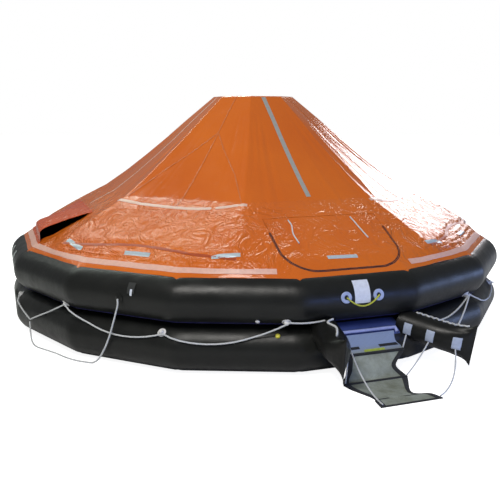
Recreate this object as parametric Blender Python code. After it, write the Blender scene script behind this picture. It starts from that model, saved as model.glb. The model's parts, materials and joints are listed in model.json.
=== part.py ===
# A large inflatable life raft: two stacked buoyancy tubes, a tent canopy on a central inflated column,
# two boarding ramps with step ladders, webbing ladders, lifelines and the fittings on the tubes.
# Metres, +Z up, origin on the ground under the raft's axis. Azimuth 0 faces the front entrance (-Y)
# and grows towards +X.
import math

import bmesh
import bpy
from mathutils import Matrix, Vector

SIDES = 16
STEP = 2 * math.pi / SIDES
GAP = 0.0003

TUBE_RADIUS = 0.22
TUBE_APOTHEM = 2.638
TUBE_FLATS = 16
LOWER_Z = TUBE_RADIUS
UPPER_Z = 3 * TUBE_RADIUS + GAP
FLAT_ANGLE = math.pi / TUBE_FLATS
FLAT_ANGLE_DEGREES = 180 / TUBE_FLATS
TUBE_CORNER = TUBE_RADIUS / math.cos(FLAT_ANGLE)

FLOOR_LOW = 0.03
FLOOR_TOP = 0.09
POCKET_THICKNESS = 0.022

# how far the inner face of the cloth lies below the outer one, 12 mm measured square to the slope
CANOPY_DROP = 0.0146
# how far above the canopy a piece of cloth on it lies, the gap measured upright
CLOTH_SEAT = 0.0004
GUTTER_Z = 1.42
GUTTER_APOTHEM = 1.69
PANEL_LOW_Z = 1.0
PANEL_LOW_APOTHEM = 2.513
CANOPY_TOP = 2.483
CANOPY_TOP_APOTHEM = 0.431
# height, distance of the flat sides from the axis, share of the eight-sided outline
CANOPY_LEVELS = (
    (0.80, 2.80, 0.0),
    (0.871, 2.70, 0.0),
    (PANEL_LOW_Z, PANEL_LOW_APOTHEM, 0.45),
    (1.21, 2.1015, 0.8),
    (GUTTER_Z, GUTTER_APOTHEM, 1.0),
    (1.6, 1.446, 1.0),
    (1.8, 1.201, 1.0),
    (2.0, 0.97, 1.0),
    (2.2, 0.753, 1.0),
    (CANOPY_TOP, CANOPY_TOP_APOTHEM, 1.0),
)
PANEL_SLOPE = math.atan2(GUTTER_Z - PANEL_LOW_Z, PANEL_LOW_APOTHEM - GUTTER_APOTHEM)

DOOR_HALF_WIDTH = 0.60
DOOR_HINGE = 0.28
DOOR_FOOT = 1.085
DOOR_CORNER = 0.30
ZIP_GAP = 0.006
HINGE_GAP = 0.0006
PORT_HALF_WIDTH = 0.57
PORT_HEAD = 0.42
PORT_FOOT = 1.0
PORT_CORNER = 0.2
HOOD_THICKNESS = 0.008
HOOD_LIFT = 0.10
# how deep the hood's rim reaches before it is cut to the canopy
HOOD_RIM_DEPTH = 0.04
# across the panel, then down its slope: place and share of the full lift
HOOD_ACROSS = (
    (-0.61, 0.0), (-0.57, 0.0), (-0.45, 0.12), (-0.3, 0.46), (-0.15, 0.82), (0.0, 1.0), (0.3, 1.0), (0.56, 1.0),
)
HOOD_DOWN = (
    (0.37, 0.0), (0.405, 0.0), (0.43, 0.35), (0.455, 0.75), (0.49, 1.0), (0.7, 1.0),
    (0.92, 1.0), (0.95, 0.8), (0.98, 0.35), (1.005, 0.0), (1.04, 0.0),
)

COLUMN_RADIUS = 0.18
COLUMN_HEAD_RADIUS = 0.40

ARM_RADIUS = 0.13
ARM_SEAM = 0.2
# name, then where the arm starts between the tubes and where it ends: x, distance in front of the axis, height
RAMP_ARMS = (
    ("right", (0.485, 2.72, 0.382), (0.88, 3.276, 0.28)),
    ("left", (-0.316, 2.72, 0.402), (-0.40, 3.32, 0.315)),
)
BAR_RADIUS = 0.015
BAR_SPAN = (-0.175, 0.365)
BAR_LEG = 0.045
LADDER_THICKNESS = 0.008
# distance in front of the axis, height, left edge, right edge
LADDER_SECTIONS = (
    (2.8287, 0.3463, -0.155, 0.345),
    (2.8625, 0.2647, -0.155, 0.345),
    (2.905, 0.185, -0.150, 0.40),
    (3.01, 0.09, -0.20, 0.26),
    (3.12, 0.0127, -0.285, 0.307),
    (3.42, 0.005, -0.19, 0.17),
    (3.50, 0.005, -0.20, 0.30),
    (3.62, 0.005, -0.214, 0.342),
)
# which section carries the rod, radius
LADDER_RODS = ((2, 0.014), (4, 0.012))

ROPE_RADIUS = 0.008
PATCH_RADIUS = 0.042
PATCH_DEPTH = 0.034
LIFELINE_SAG = 0.12
LIFELINE_REACH = 0.172
LIFELINE_CLEAR = 0.006
# azimuth of each patch, and whether it sits on the lower tube
LIFELINE_PLACES = {
    "left": ((-80.8, True), (-58.3, False), (-35.8, True), (-13.3, False)),
    "right": ((29.8, False), (54.2, True), (76.7, False)),
}
# the right lifelines start on the flank of the right ramp arm: share of its length, and the sag from there
ARM_TIE = 0.5
ARM_TIE_SAG = 0.05
LIFELINE_HIGH = 0.5044
LIFELINE_LOW = 0.3756
# azimuth and height of the point where the side rope pulls one span of the front left lifeline down
ROPE_KNOT = (-71.6, 0.223)

BRIDLE_AZIMUTH = 3.45
BRIDLE_DISC_RADIUS = 0.052
BRIDLE_DISC_DEPTH = 0.008
BRIDLE_ROPE = 0.007
BRIDLE_SAG = 0.085
CARD_WIDTH = 0.155
CARD_THICKNESS = 0.003

CYLINDER_RADIUS = 0.09
CYLINDER_LENGTH = 0.95
CYLINDER_AZIMUTH = 157.5
STRAP_WIDTH = 0.05
STRAP_THICKNESS = 0.006

SIDE_LADDER_HALF = 0.18
SIDE_LADDER_STRAP = 0.045
SIDE_LADDER_THICKNESS = 0.004

SIDE_ROPE_RADIUS = 0.008
SIDE_ROPE_PATCH_AZIMUTH = -44.4


def outward(azimuth):
    angle = math.radians(azimuth)
    return Vector((math.sin(angle), -math.cos(angle), 0))


def along(azimuth):
    angle = math.radians(azimuth)
    return Vector((math.cos(angle), math.sin(angle), 0))


def clear_scene():
    for old in list(bpy.data.objects):
        bpy.data.objects.remove(old, do_unlink=True)


def make_material(name, colour, roughness, metallic=0.0):
    material = bpy.data.materials.new(name)
    material.use_nodes = True
    shader = material.node_tree.nodes["Principled BSDF"]
    shader.inputs["Base Color"].default_value = (*colour, 1.0)
    shader.inputs["Roughness"].default_value = roughness
    shader.inputs["Metallic"].default_value = metallic
    return material


def make_object(name, mesh_data, material=None, origin=(0, 0, 0)):
    """Closes up a bmesh into an object whose origin is at the given point."""
    bmesh.ops.remove_doubles(mesh_data, verts=mesh_data.verts, dist=1e-6)
    bmesh.ops.recalc_face_normals(mesh_data, faces=mesh_data.faces)
    bmesh.ops.translate(mesh_data, verts=mesh_data.verts, vec=-Vector(origin))
    mesh = bpy.data.meshes.new(name)
    mesh_data.to_mesh(mesh)
    mesh_data.free()
    mesh.shade_smooth()
    mesh.set_sharp_from_angle(angle=math.radians(35))
    if material:
        mesh.materials.append(material)
    made = bpy.data.objects.new(name, mesh)
    made.location = origin
    bpy.context.scene.collection.objects.link(made)
    return made


def make_guide(name, mesh_data):
    guide = make_object(name, mesh_data)
    guide.hide_render = True
    guide.display_type = "WIRE"
    return guide


def join(target, other, operation):
    modifier = target.modifiers.new(f"{operation.lower()}_{other.name}", "BOOLEAN")
    modifier.operation = operation
    modifier.solver = "EXACT"
    modifier.object = other


def loft(rings):
    """A closed solid through rings of points, with flat ends."""
    shape = bmesh.new()
    loops = [[shape.verts.new(point) for point in ring] for ring in rings]
    count = len(loops[0])
    sides = []
    for first, second in zip(loops, loops[1:]):
        for index in range(count):
            after = (index + 1) % count
            sides.append(shape.faces.new((first[index], first[after], second[after], second[index])))
    bmesh.ops.triangulate(shape, faces=sides)
    shape.faces.new(loops[0][::-1])
    shape.faces.new(loops[-1])
    return shape


def prism(outline, frame, low, high):
    """The outline, in the frame's first two axes, drawn out along its third."""
    rings = [[frame @ Vector((x, y, level)) for x, y in outline] for level in (low, high)]
    return loft(rings)


def circle(radius, count, start=0.0):
    angles = [start + 2 * math.pi * index / count for index in range(count)]
    return [(radius * math.cos(angle), radius * math.sin(angle)) for angle in angles]


def rounded_outline(half_width, top, bottom, corner, top_corner=0.0, steps=5):
    """A door's outline: distances run down the slope from the panel's head."""
    points = []
    corners = (
        (half_width, bottom, corner, -90),
        (half_width, top, top_corner, 0),
        (-half_width, top, top_corner, 90),
        (-half_width, bottom, corner, 180),
    )
    for x, down, radius, start in corners:
        if radius == 0:
            points.append((x, -down))
            continue
        centre_x = x - math.copysign(radius, x)
        centre_y = -down + (radius if down == bottom else -radius)
        for index in range(steps + 1):
            angle = math.radians(start + 90 * index / steps)
            points.append((centre_x + radius * math.cos(angle), centre_y + radius * math.sin(angle)))
    return points


def panel_frame(azimuth):
    """Origin on the gutter line of a door panel: x along it, y up the slope, z out of the cloth."""
    out = outward(azimuth)
    origin = out * GUTTER_APOTHEM + Vector((0, 0, GUTTER_Z))
    up_slope = Vector((0, 0, math.sin(PANEL_SLOPE))) - out * math.cos(PANEL_SLOPE)
    normal = out * math.sin(PANEL_SLOPE) + Vector((0, 0, math.cos(PANEL_SLOPE)))
    frame = Matrix((along(azimuth), up_slope, normal)).transposed().to_4x4()
    frame.translation = origin
    return frame


def tube_frame(azimuth, height, angle, lift=0.0):
    """On a tube's surface: x along the tube, y up round it, z out of it. The angle is above level."""
    out = outward(azimuth)
    rise = math.radians(angle)
    normal = out * math.cos(rise) + Vector((0, 0, math.sin(rise)))
    upward = Vector((0, 0, math.cos(rise))) - out * math.sin(rise)
    frame = Matrix((along(azimuth), upward, normal)).transposed().to_4x4()
    frame.translation = out * TUBE_APOTHEM + Vector((0, 0, height)) + normal * (TUBE_RADIUS + lift)
    return frame


def segment_azimuth(azimuth):
    return round(azimuth / 22.5) * 22.5


def ring_point(azimuth, offset, height):
    """A point beside the straight tube segment at this azimuth, the offset counted from its axis."""
    turn = math.radians(azimuth - segment_azimuth(azimuth))
    return outward(azimuth) * ((TUBE_APOTHEM + offset) / math.cos(turn)) + Vector((0, 0, height))


def sweep(points, radius, sides=6):
    """A closed rope of round section along the points."""
    rings = []
    side = None
    for index, point in enumerate(points):
        before = points[max(index - 1, 0)]
        after = points[min(index + 1, len(points) - 1)]
        direction = (after - before).normalized()
        if side is None:
            side = direction.orthogonal().normalized()
        side = (side - direction * side.dot(direction)).normalized()
        other = direction.cross(side)
        rings.append([point + side * x + other * y for x, y in circle(radius, sides)])
    return loft(rings)


def smooth_route(points, steps):
    """Points on a smooth curve through the given ones."""
    route = []
    count = len(points)
    for index in range(count - 1):
        p0 = points[max(index - 1, 0)]
        p1 = points[index]
        p2 = points[index + 1]
        p3 = points[min(index + 2, count - 1)]
        for part in range(steps):
            t = part / steps
            route.append(
                0.5 * (2 * p1 + (p2 - p0) * t + (2 * p0 - 5 * p1 + 4 * p2 - p3) * t * t
                       + (3 * p1 - p0 - 3 * p2 + p3) * t * t * t)
            )
    route.append(points[-1])
    return route


def ring_tube(height, radius):
    """One buoyancy ring: straight segments mitred at each corner."""
    shape = bmesh.new()
    corner = radius / math.cos(FLAT_ANGLE)
    start = outward(math.degrees(-STEP / 2))
    section = []
    for x, z in circle(corner, TUBE_FLATS, FLAT_ANGLE):
        reach = (TUBE_APOTHEM + x) / math.cos(STEP / 2)
        section.append(shape.verts.new(start * reach + Vector((0, 0, height + z))))
    edges = [shape.edges.new((a, b)) for a, b in zip(section, section[1:] + section[:1])]
    bmesh.ops.spin(
        shape, geom=section + edges, cent=(0, 0, 0), axis=(0, 0, 1), dvec=(0, 0, 0),
        angle=2 * math.pi, steps=SIDES, use_merge=True,
    )
    return shape


def canopy_ring(height, apothem, eight_share):
    """Blend of the sixteen-sided foot and the eight-sided head of the canopy."""
    ring = []
    for index in range(2 * SIDES):
        azimuth = index * 11.25
        from_eight = (azimuth + 22.5) % 45 - 22.5
        from_sixteen = (azimuth + 11.25) % 22.5 - 11.25
        eight = apothem / math.cos(math.radians(from_eight))
        sixteen = apothem / math.cos(math.radians(from_sixteen))
        reach = eight_share * eight + (1 - eight_share) * sixteen
        ring.append(outward(azimuth) * reach + Vector((0, 0, height)))
    return ring


def canopy_solid(drop):
    levels = [list(level) for level in CANOPY_LEVELS]
    levels[0] = [CANOPY_LEVELS[0][0] - 2 * drop, CANOPY_LEVELS[0][1], 0.0]
    rings = [canopy_ring(height - drop, apothem, share) for height, apothem, share in levels]
    return loft(rings)


def add_canopy_cuts(target):
    join(target, bpy.data.objects["canopy_inside"], "DIFFERENCE")
    join(target, bpy.data.objects["upper_tube_space"], "DIFFERENCE")


def build_canopy(cloth):
    make_guide("canopy_inside", canopy_solid(CANOPY_DROP))
    make_guide("canopy_space", canopy_solid(-CLOTH_SEAT))
    make_guide("upper_tube_space", ring_tube(UPPER_Z, TUBE_RADIUS + GAP))
    canopy = make_object("canopy", canopy_solid(0), cloth)
    add_canopy_cuts(canopy)
    door = rounded_outline(DOOR_HALF_WIDTH, DOOR_HINGE, DOOR_FOOT, DOOR_CORNER)
    port = rounded_outline(PORT_HALF_WIDTH, PORT_HEAD, PORT_FOOT, PORT_CORNER, 0.08)
    for name, azimuth, outline in (
        ("door_opening_front", 0, door),
        ("door_opening_rear", 180, door),
        ("port_opening_left", -90, port),
        ("port_opening_right", 90, port),
    ):
        guide = make_guide(name, prism(outline, panel_frame(azimuth), -0.25, 0.25))
        join(canopy, guide, "DIFFERENCE")


def build_door(side, azimuth, cloth):
    """A zipped door flap, hung on the sewn edge at its head."""
    frame = panel_frame(azimuth)
    hinge = frame @ Vector((0, -DOOR_HINGE, 0))
    outline = rounded_outline(
        DOOR_HALF_WIDTH - ZIP_GAP, DOOR_HINGE + HINGE_GAP, DOOR_FOOT - ZIP_GAP, DOOR_CORNER - ZIP_GAP
    )
    guide = make_guide(f"door_shape_{side}", prism(outline, frame, -0.25, 0.25))
    flap = make_object(f"door_flap_{side}", canopy_solid(0), cloth, hinge)
    add_canopy_cuts(flap)
    join(flap, guide, "INTERSECT")


def build_side_hood(side, azimuth, cloth):
    """The side flap: a hood over its opening, shut along its head, foot and back, with a gaping front edge."""
    frame = panel_frame(azimuth)
    rings = []
    for x, across in HOOD_ACROSS:
        upper = []
        lower = []
        for down, share in HOOD_DOWN:
            lift = HOOD_LIFT * across * share
            upper.append(frame @ Vector((x, -down, GAP + HOOD_THICKNESS + lift)))
            lower.append(frame @ Vector((x, -down, lift if lift else -HOOD_RIM_DEPTH)))
        rings.append(upper + lower[::-1])
    hood = make_object(f"port_flap_{side}", loft(rings), cloth)
    join(hood, bpy.data.objects["canopy_space"], "DIFFERENCE")


def build_column(rubber, top_z):
    shape = bmesh.new()
    profile = (
        (0.0, FLOOR_TOP + GAP),
        (COLUMN_RADIUS + 0.05, FLOOR_TOP + GAP),
        (COLUMN_RADIUS, FLOOR_TOP + 0.15),
        (COLUMN_RADIUS, top_z - 0.45),
        (COLUMN_RADIUS + 0.05, top_z - 0.25),
        (COLUMN_HEAD_RADIUS - 0.04, top_z - 0.12),
        (COLUMN_HEAD_RADIUS - 0.02, top_z - 0.05),
        (COLUMN_HEAD_RADIUS - 0.06, top_z),
        (0.0, top_z),
    )
    points = [shape.verts.new((x, 0, z)) for x, z in profile]
    edges = [shape.edges.new(pair) for pair in zip(points, points[1:])]
    bmesh.ops.spin(
        shape, geom=points + edges, cent=(0, 0, 0), axis=(0, 0, 1), dvec=(0, 0, 0),
        angle=2 * math.pi, steps=SIDES, use_merge=True,
    )
    make_object("centre_column", shape, rubber)


def build_floor(rubber):
    """The floor sheet, its rim cut to the inside of the lower tube."""
    rings = []
    for height in (FLOOR_LOW, FLOOR_TOP):
        reach = (TUBE_APOTHEM - 0.1) / math.cos(STEP / 2)
        rings.append([outward(11.25 + 22.5 * index) * reach + Vector((0, 0, height)) for index in range(SIDES)])
    floor = make_object("floor", loft(rings), rubber)
    join(floor, bpy.data.objects["lower_tube_space"], "DIFFERENCE")


def build_pockets(rubber):
    """Water ballast pockets, folded flat under the floor while the raft stands on dry ground."""
    outline = ((-0.30, 1.55), (0.30, 1.55), (0.38, 2.15), (-0.38, 2.15))
    for index in range(4):
        azimuth = 45 + 90 * index
        frame = Matrix((along(azimuth), outward(azimuth), Vector((0, 0, 1)))).transposed().to_4x4()
        top = FLOOR_LOW - GAP
        pocket = prism(outline, frame, top - POCKET_THICKNESS, top)
        make_object(f"ballast_pocket_{index + 1}", pocket, rubber)


def build_ramp_arm(name, turn, arm, rubber):
    """An inflated arm that ends in an upright weld seam."""
    side, *places = arm
    base, tip = (Vector((x, -distance, height)) for x, distance, height in places)
    direction = (tip - base).normalized()
    across = Vector((-direction.y, direction.x, 0)).normalized()
    up = across.cross(direction)
    if up.z < 0:
        up = -up
    rings = []
    for share, half_width, half_height in (
        (0.0, 1.0, 1.0), (0.55, 1.0, 1.0), (0.72, 0.88, 1.03), (0.85, 0.62, 1.12),
        (0.94, 0.32, 1.26), (1.0, 0.06, ARM_SEAM / ARM_RADIUS),
    ):
        centre = base.lerp(tip, share)
        rings.append([
            turn @ (centre + across * x * half_width + up * y * half_height)
            for x, y in circle(ARM_RADIUS, 14)
        ])
    built = make_object(f"ramp_arm_{name}_{side}", loft(rings), rubber)
    for tube in ("lower_tube_space", "upper_tube_space"):
        join(built, bpy.data.objects[tube], "DIFFERENCE")


def build_boarding_bar(name, turn, material):
    """A staple-shaped handhold bar, lying on the lower tube above the ladder."""
    seat = tube_frame(0, LOWER_Z, 45, BAR_RADIUS + GAP)
    high = -0.019
    left, right = BAR_SPAN
    corners = (
        (left, high - BAR_LEG), (left, high - 0.012), (left + 0.012, high),
        (right - 0.012, high), (right, high - 0.012), (right, high - BAR_LEG),
    )
    points = [turn @ (seat @ Vector((x, y, 0))) for x, y in corners]
    make_object(f"boarding_bar_{name}", sweep(points, BAR_RADIUS, 8), material)


def build_ladder(name, turn, material):
    """The boarding ladder's cloth steps with their stiff rods, laid down over the tube to the ground."""
    centres = [Vector((0, -distance, height)) for distance, height, _, _ in LADDER_SECTIONS]
    rings = []
    for index, (_, _, left, right) in enumerate(LADDER_SECTIONS):
        before = centres[max(index - 1, 0)]
        after = centres[min(index + 1, len(centres) - 1)]
        direction = (after - before).normalized()
        normal = Vector((0, direction.z, -direction.y)) * (LADDER_THICKNESS / 2)
        middle = centres[index]
        rings.append([
            turn @ (middle + Vector((left, 0, 0)) - normal), turn @ (middle + Vector((right, 0, 0)) - normal),
            turn @ (middle + Vector((right, 0, 0)) + normal), turn @ (middle + Vector((left, 0, 0)) + normal),
        ])
    ladder = make_object(f"boarding_ladder_{name}", loft(rings), material)
    for section, radius in LADDER_RODS:
        _, _, left, right = LADDER_SECTIONS[section]
        ends = [turn @ (centres[section] + Vector((x, 0, 0))) for x in (left - 0.012, right + 0.012)]
        rod = make_guide(f"ladder_rod_{name}_{section}", sweep(ends, radius, 10))
        join(ladder, rod, "UNION")


def rope_offset(height):
    """How far from the tube axis the lifeline runs at this height."""
    surface = 0.0
    if height < 2 * TUBE_RADIUS:
        surface = math.sqrt(max(TUBE_CORNER ** 2 - (height - LOWER_Z) ** 2, 0))
    return max(surface, LIFELINE_REACH) + ROPE_RADIUS + LIFELINE_CLEAR


def arm_line(end):
    """The stretch of a right lifeline between the ramp arm's outer flank and its first patch."""
    base, tip = (Vector((x, -distance, height)) for x, distance, height in RAMP_ARMS[0][1:])
    outer = Vector((base.y - tip.y, tip.x - base.x, 0)).normalized()
    reach = (ARM_RADIUS + ROPE_RADIUS + GAP) * math.sin(math.radians(45))
    start = base.lerp(tip, ARM_TIE) + outer * reach + Vector((0, 0, reach + LIFELINE_CLEAR))
    points = []
    for part in range(8):
        share = part / 8
        sag = ARM_TIE_SAG * 4 * share * (1 - share)
        points.append(start.lerp(end, share) - Vector((0, 0, sag)))
    return points


def build_lifeline(name, places, turn, rope):
    """A grab line outside the tubes, sagging between its patches."""
    stops = [(azimuth, LIFELINE_LOW if low else LIFELINE_HIGH, LIFELINE_SAG) for azimuth, low in places]
    if name == "front_left":
        stops[0] = (*stops[0][:2], 0)
        stops.insert(1, (*ROPE_KNOT, 0))
    points = []
    if name.endswith("right"):
        azimuth, height, _ = stops[0]
        points = [turn @ point for point in arm_line(ring_point(azimuth, rope_offset(height), height))]
    for (azimuth, height, sag), (next_azimuth, next_height, _) in zip(stops, stops[1:]):
        span = next_azimuth - azimuth
        corner = (11.25 - azimuth) % 22.5 / span
        shares = {0, 0.2, 0.32, 0.44, 0.56, 0.68, 0.8, 0.9} | ({corner} if corner < 1 else set())
        for share in sorted(shares):
            level = height + (next_height - height) * share - sag * 4 * share * (1 - share)
            here = azimuth + span * share
            points.append(turn @ ring_point(here, rope_offset(level), level))
    points.append(turn @ ring_point(next_azimuth, rope_offset(next_height), next_height))
    line = make_object(f"lifeline_{name}", sweep(points, ROPE_RADIUS, 6), rope)
    for index, (azimuth, low) in enumerate(places):
        segment = segment_azimuth(azimuth)
        slide = TUBE_APOTHEM * math.tan(math.radians(azimuth - segment))
        seat = turn @ tube_frame(segment, LOWER_Z if low else UPPER_Z, 45 if low else -45, GAP)
        seat = seat @ Matrix.Translation((slide, 0, 0))
        patch = make_guide(f"patch_{name}_{index}", prism(circle(PATCH_RADIUS, 12), seat, 0, PATCH_DEPTH))
        join(line, patch, "UNION")


def build_bridle(name, turn, plastic, yellow):
    """Two round patches on the upper tube with a short line between them."""
    seat = turn @ tube_frame(0, UPPER_Z, FLAT_ANGLE_DEGREES, TUBE_CORNER - TUBE_RADIUS + GAP)
    half = TUBE_APOTHEM * math.tan(math.radians(BRIDLE_AZIMUTH))
    for side, x in (("left", -half), ("right", half)):
        disc = prism(circle(BRIDLE_DISC_RADIUS, 20), seat @ Matrix.Translation((x, 0, 0)), 0, BRIDLE_DISC_DEPTH)
        make_object(f"bridle_disc_{name}_{side}", disc, plastic)
    points = []
    for part in range(11):
        share = part / 10
        drop = BRIDLE_SAG * 4 * share * (1 - share)
        lift = BRIDLE_DISC_DEPTH + GAP + BRIDLE_ROPE
        points.append(seat @ Vector(((2 * share - 1) * half, -drop, lift)))
    make_object(f"bridle_line_{name}", sweep(points, BRIDLE_ROPE, 8), yellow)


def build_card(plastic):
    """A blank card on the upper tube between the front bridle patches, following three of its flats."""
    rings = []
    for angle, share in ((50, 0), (33.75, 1), (11.25, 1), (-4, 0)):
        rise = math.radians(angle)
        reach = TUBE_CORNER if share else TUBE_RADIUS / math.cos(
            math.radians(abs(angle - round(angle / 22.5) * 22.5)))
        ring = []
        for lift in (2 * GAP, 2 * GAP + CARD_THICKNESS):
            distance = TUBE_APOTHEM + (reach + lift) * math.cos(rise)
            height = UPPER_Z + (reach + lift) * math.sin(rise)
            sides = (-1, 1) if not ring else (1, -1)
            for side in sides:
                ring.append(Vector((side * CARD_WIDTH / 2, -distance, height)))
        rings.append(ring)
    make_object("instruction_card", loft(rings), plastic)


def build_cylinder(steel, webbing):
    """The gas cylinder strapped along the outside of the lower tube, on the side away from the entrance."""
    seat = tube_frame(CYLINDER_AZIMUTH, LOWER_Z, -22.5, CYLINDER_RADIUS + STRAP_THICKNESS + GAP)
    axes = (Vector((0, 0, 1)), outward(CYLINDER_AZIMUTH), along(CYLINDER_AZIMUTH))
    frame = Matrix(axes).transposed().to_4x4()
    frame.translation = seat.translation
    half = CYLINDER_LENGTH / 2
    rings = []
    for level, radius in (
        (-half, 0.04), (-half + 0.03, 0.075), (-half + 0.08, CYLINDER_RADIUS), (half - 0.12, CYLINDER_RADIUS),
        (half - 0.06, 0.07), (half - 0.03, 0.03), (half + 0.03, 0.028), (half + 0.07, 0.028),
    ):
        rings.append([frame @ Vector((x, y, level)) for x, y in circle(radius, 20)])
    make_object("gas_cylinder", loft(rings), steel)
    for index, level in enumerate((-0.25, 0.22)):
        strap_frame = frame @ Matrix.Translation((0, 0, level - STRAP_WIDTH / 2))
        outer = circle(CYLINDER_RADIUS + STRAP_THICKNESS, 24, math.radians(7.5))
        strap = make_object(f"cylinder_strap_{index + 1}", prism(outer, strap_frame, 0, STRAP_WIDTH), webbing)
        inner = make_guide(
            f"strap_hollow_{index}", prism(circle(CYLINDER_RADIUS + GAP, 20), strap_frame, -0.1, STRAP_WIDTH + 0.1)
        )
        join(strap, inner, "DIFFERENCE")


def build_side_ladder(name, azimuth, webbing):
    """A webbing ladder, hung over the outside of both tubes below a side opening."""
    out = outward(azimuth)
    sideways = along(azimuth)
    inner = []
    for angle in (40, 33.75, 11.25):
        rise = math.radians(angle)
        reach = TUBE_CORNER if angle != 40 else TUBE_RADIUS / math.cos(math.radians(5))
        inner.append((TUBE_APOTHEM + (reach + GAP) * math.cos(rise), UPPER_Z + (reach + GAP) * math.sin(rise)))
    inner.append((TUBE_APOTHEM + TUBE_CORNER + 2 * GAP, UPPER_Z - 0.05))
    inner.append((TUBE_APOTHEM + TUBE_CORNER + 2 * GAP, 0.03))
    whole = None
    for side in (-1, 1):
        rings = []
        for distance, height in inner:
            ring = []
            for lift, order in ((0, (-1, 1)), (SIDE_LADDER_THICKNESS, (1, -1))):
                for edge in order:
                    shift = side * SIDE_LADDER_HALF + edge * SIDE_LADDER_STRAP / 2
                    ring.append(out * (distance + lift) + sideways * shift + Vector((0, 0, height)))
            rings.append(ring)
        if whole is None:
            whole = make_object(f"side_ladder_{name}", loft(rings), webbing)
        else:
            join(whole, make_guide(f"side_strap_{name}", loft(rings)), "UNION")
    frame = Matrix((sideways, Vector((0, 0, 1)), out)).transposed().to_4x4()
    frame.translation = out * (TUBE_APOTHEM + TUBE_CORNER + 2 * GAP)
    for index, level in enumerate((0.06, 0.28, 0.50)):
        half = SIDE_LADDER_HALF + SIDE_LADDER_STRAP / 2 - 0.002
        outline = ((-half, level), (half, level), (half, level + 0.05), (-half, level + 0.05))
        rung = make_guide(f"side_rung_{name}_{index}", prism(outline, frame, 0.001, SIDE_LADDER_THICKNESS + 0.006))
        join(whole, rung, "UNION")


def side_rope_route():
    """The loose line from its patch down to the ground and up to the lifeline, which it pulls down."""
    hang = TUBE_CORNER + SIDE_ROPE_RADIUS + 0.016
    places = (
        # azimuth, offset from the tube axis, height
        (-44.4, hang, 0.66),
        (-44.4, hang + 0.004, 0.60),
        (-44.9, hang + 0.004, 0.52),
        (-45.7, hang + 0.004, 0.40),
        (-46.6, hang + 0.004, 0.28),
        (-47.9, hang + 0.004, 0.15),
        (-49.4, hang, 0.05),
        (-51.2, hang - 0.01, 0.0085),
        (-54.0, 0.245, 0.0085),
        (-57.0, 0.235, 0.0085),
        (-60.5, 0.250, 0.0085),
        (-64.0, 0.280, 0.0085),
        (-66.6, 0.300, 0.0085),
        (-68.8, 0.292, 0.03),
        (-70.3, 0.270, 0.09),
        (-71.2, 0.252, 0.15),
        (-71.6, 0.242, 0.2025),
    )
    route = smooth_route([ring_point(azimuth, offset, height) for azimuth, offset, height in places], 4)
    for point in route:
        point.z = max(point.z, SIDE_ROPE_RADIUS + GAP)
    return route


def build_side_rope(rope, plastic):
    seat = tube_frame(-45, UPPER_Z, 0, GAP)
    slide = TUBE_APOTHEM * math.tan(math.radians(SIDE_ROPE_PATCH_AZIMUTH + 45))
    seat = seat @ Matrix.Translation((slide, 0, 0))
    top = TUBE_CORNER - TUBE_RADIUS + 0.016 - GAP
    make_object("side_rope_patch", prism(circle(0.04, 12), seat, 0, top - GAP), plastic)
    curve = bpy.data.curves.new("side_rope", "CURVE")
    curve.dimensions = "3D"
    curve.bevel_depth = SIDE_ROPE_RADIUS
    curve.bevel_resolution = 2
    curve.use_fill_caps = True
    route = side_rope_route()
    spline = curve.splines.new("POLY")
    spline.points.add(len(route) - 1)
    for place, point in zip(spline.points, route):
        place.co = (*point, 1)
    curve.materials.append(rope)
    bpy.context.scene.collection.objects.link(bpy.data.objects.new("side_rope", curve))


def build_valve(name, azimuth, height, angle, radius, depth, material):
    segment = segment_azimuth(azimuth)
    seat = tube_frame(segment, height, angle, GAP)
    slide = TUBE_APOTHEM * math.tan(math.radians(azimuth - segment))
    make_object(name, prism(circle(radius, 14), seat @ Matrix.Translation((slide, 0, 0)), 0, depth), material)


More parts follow.
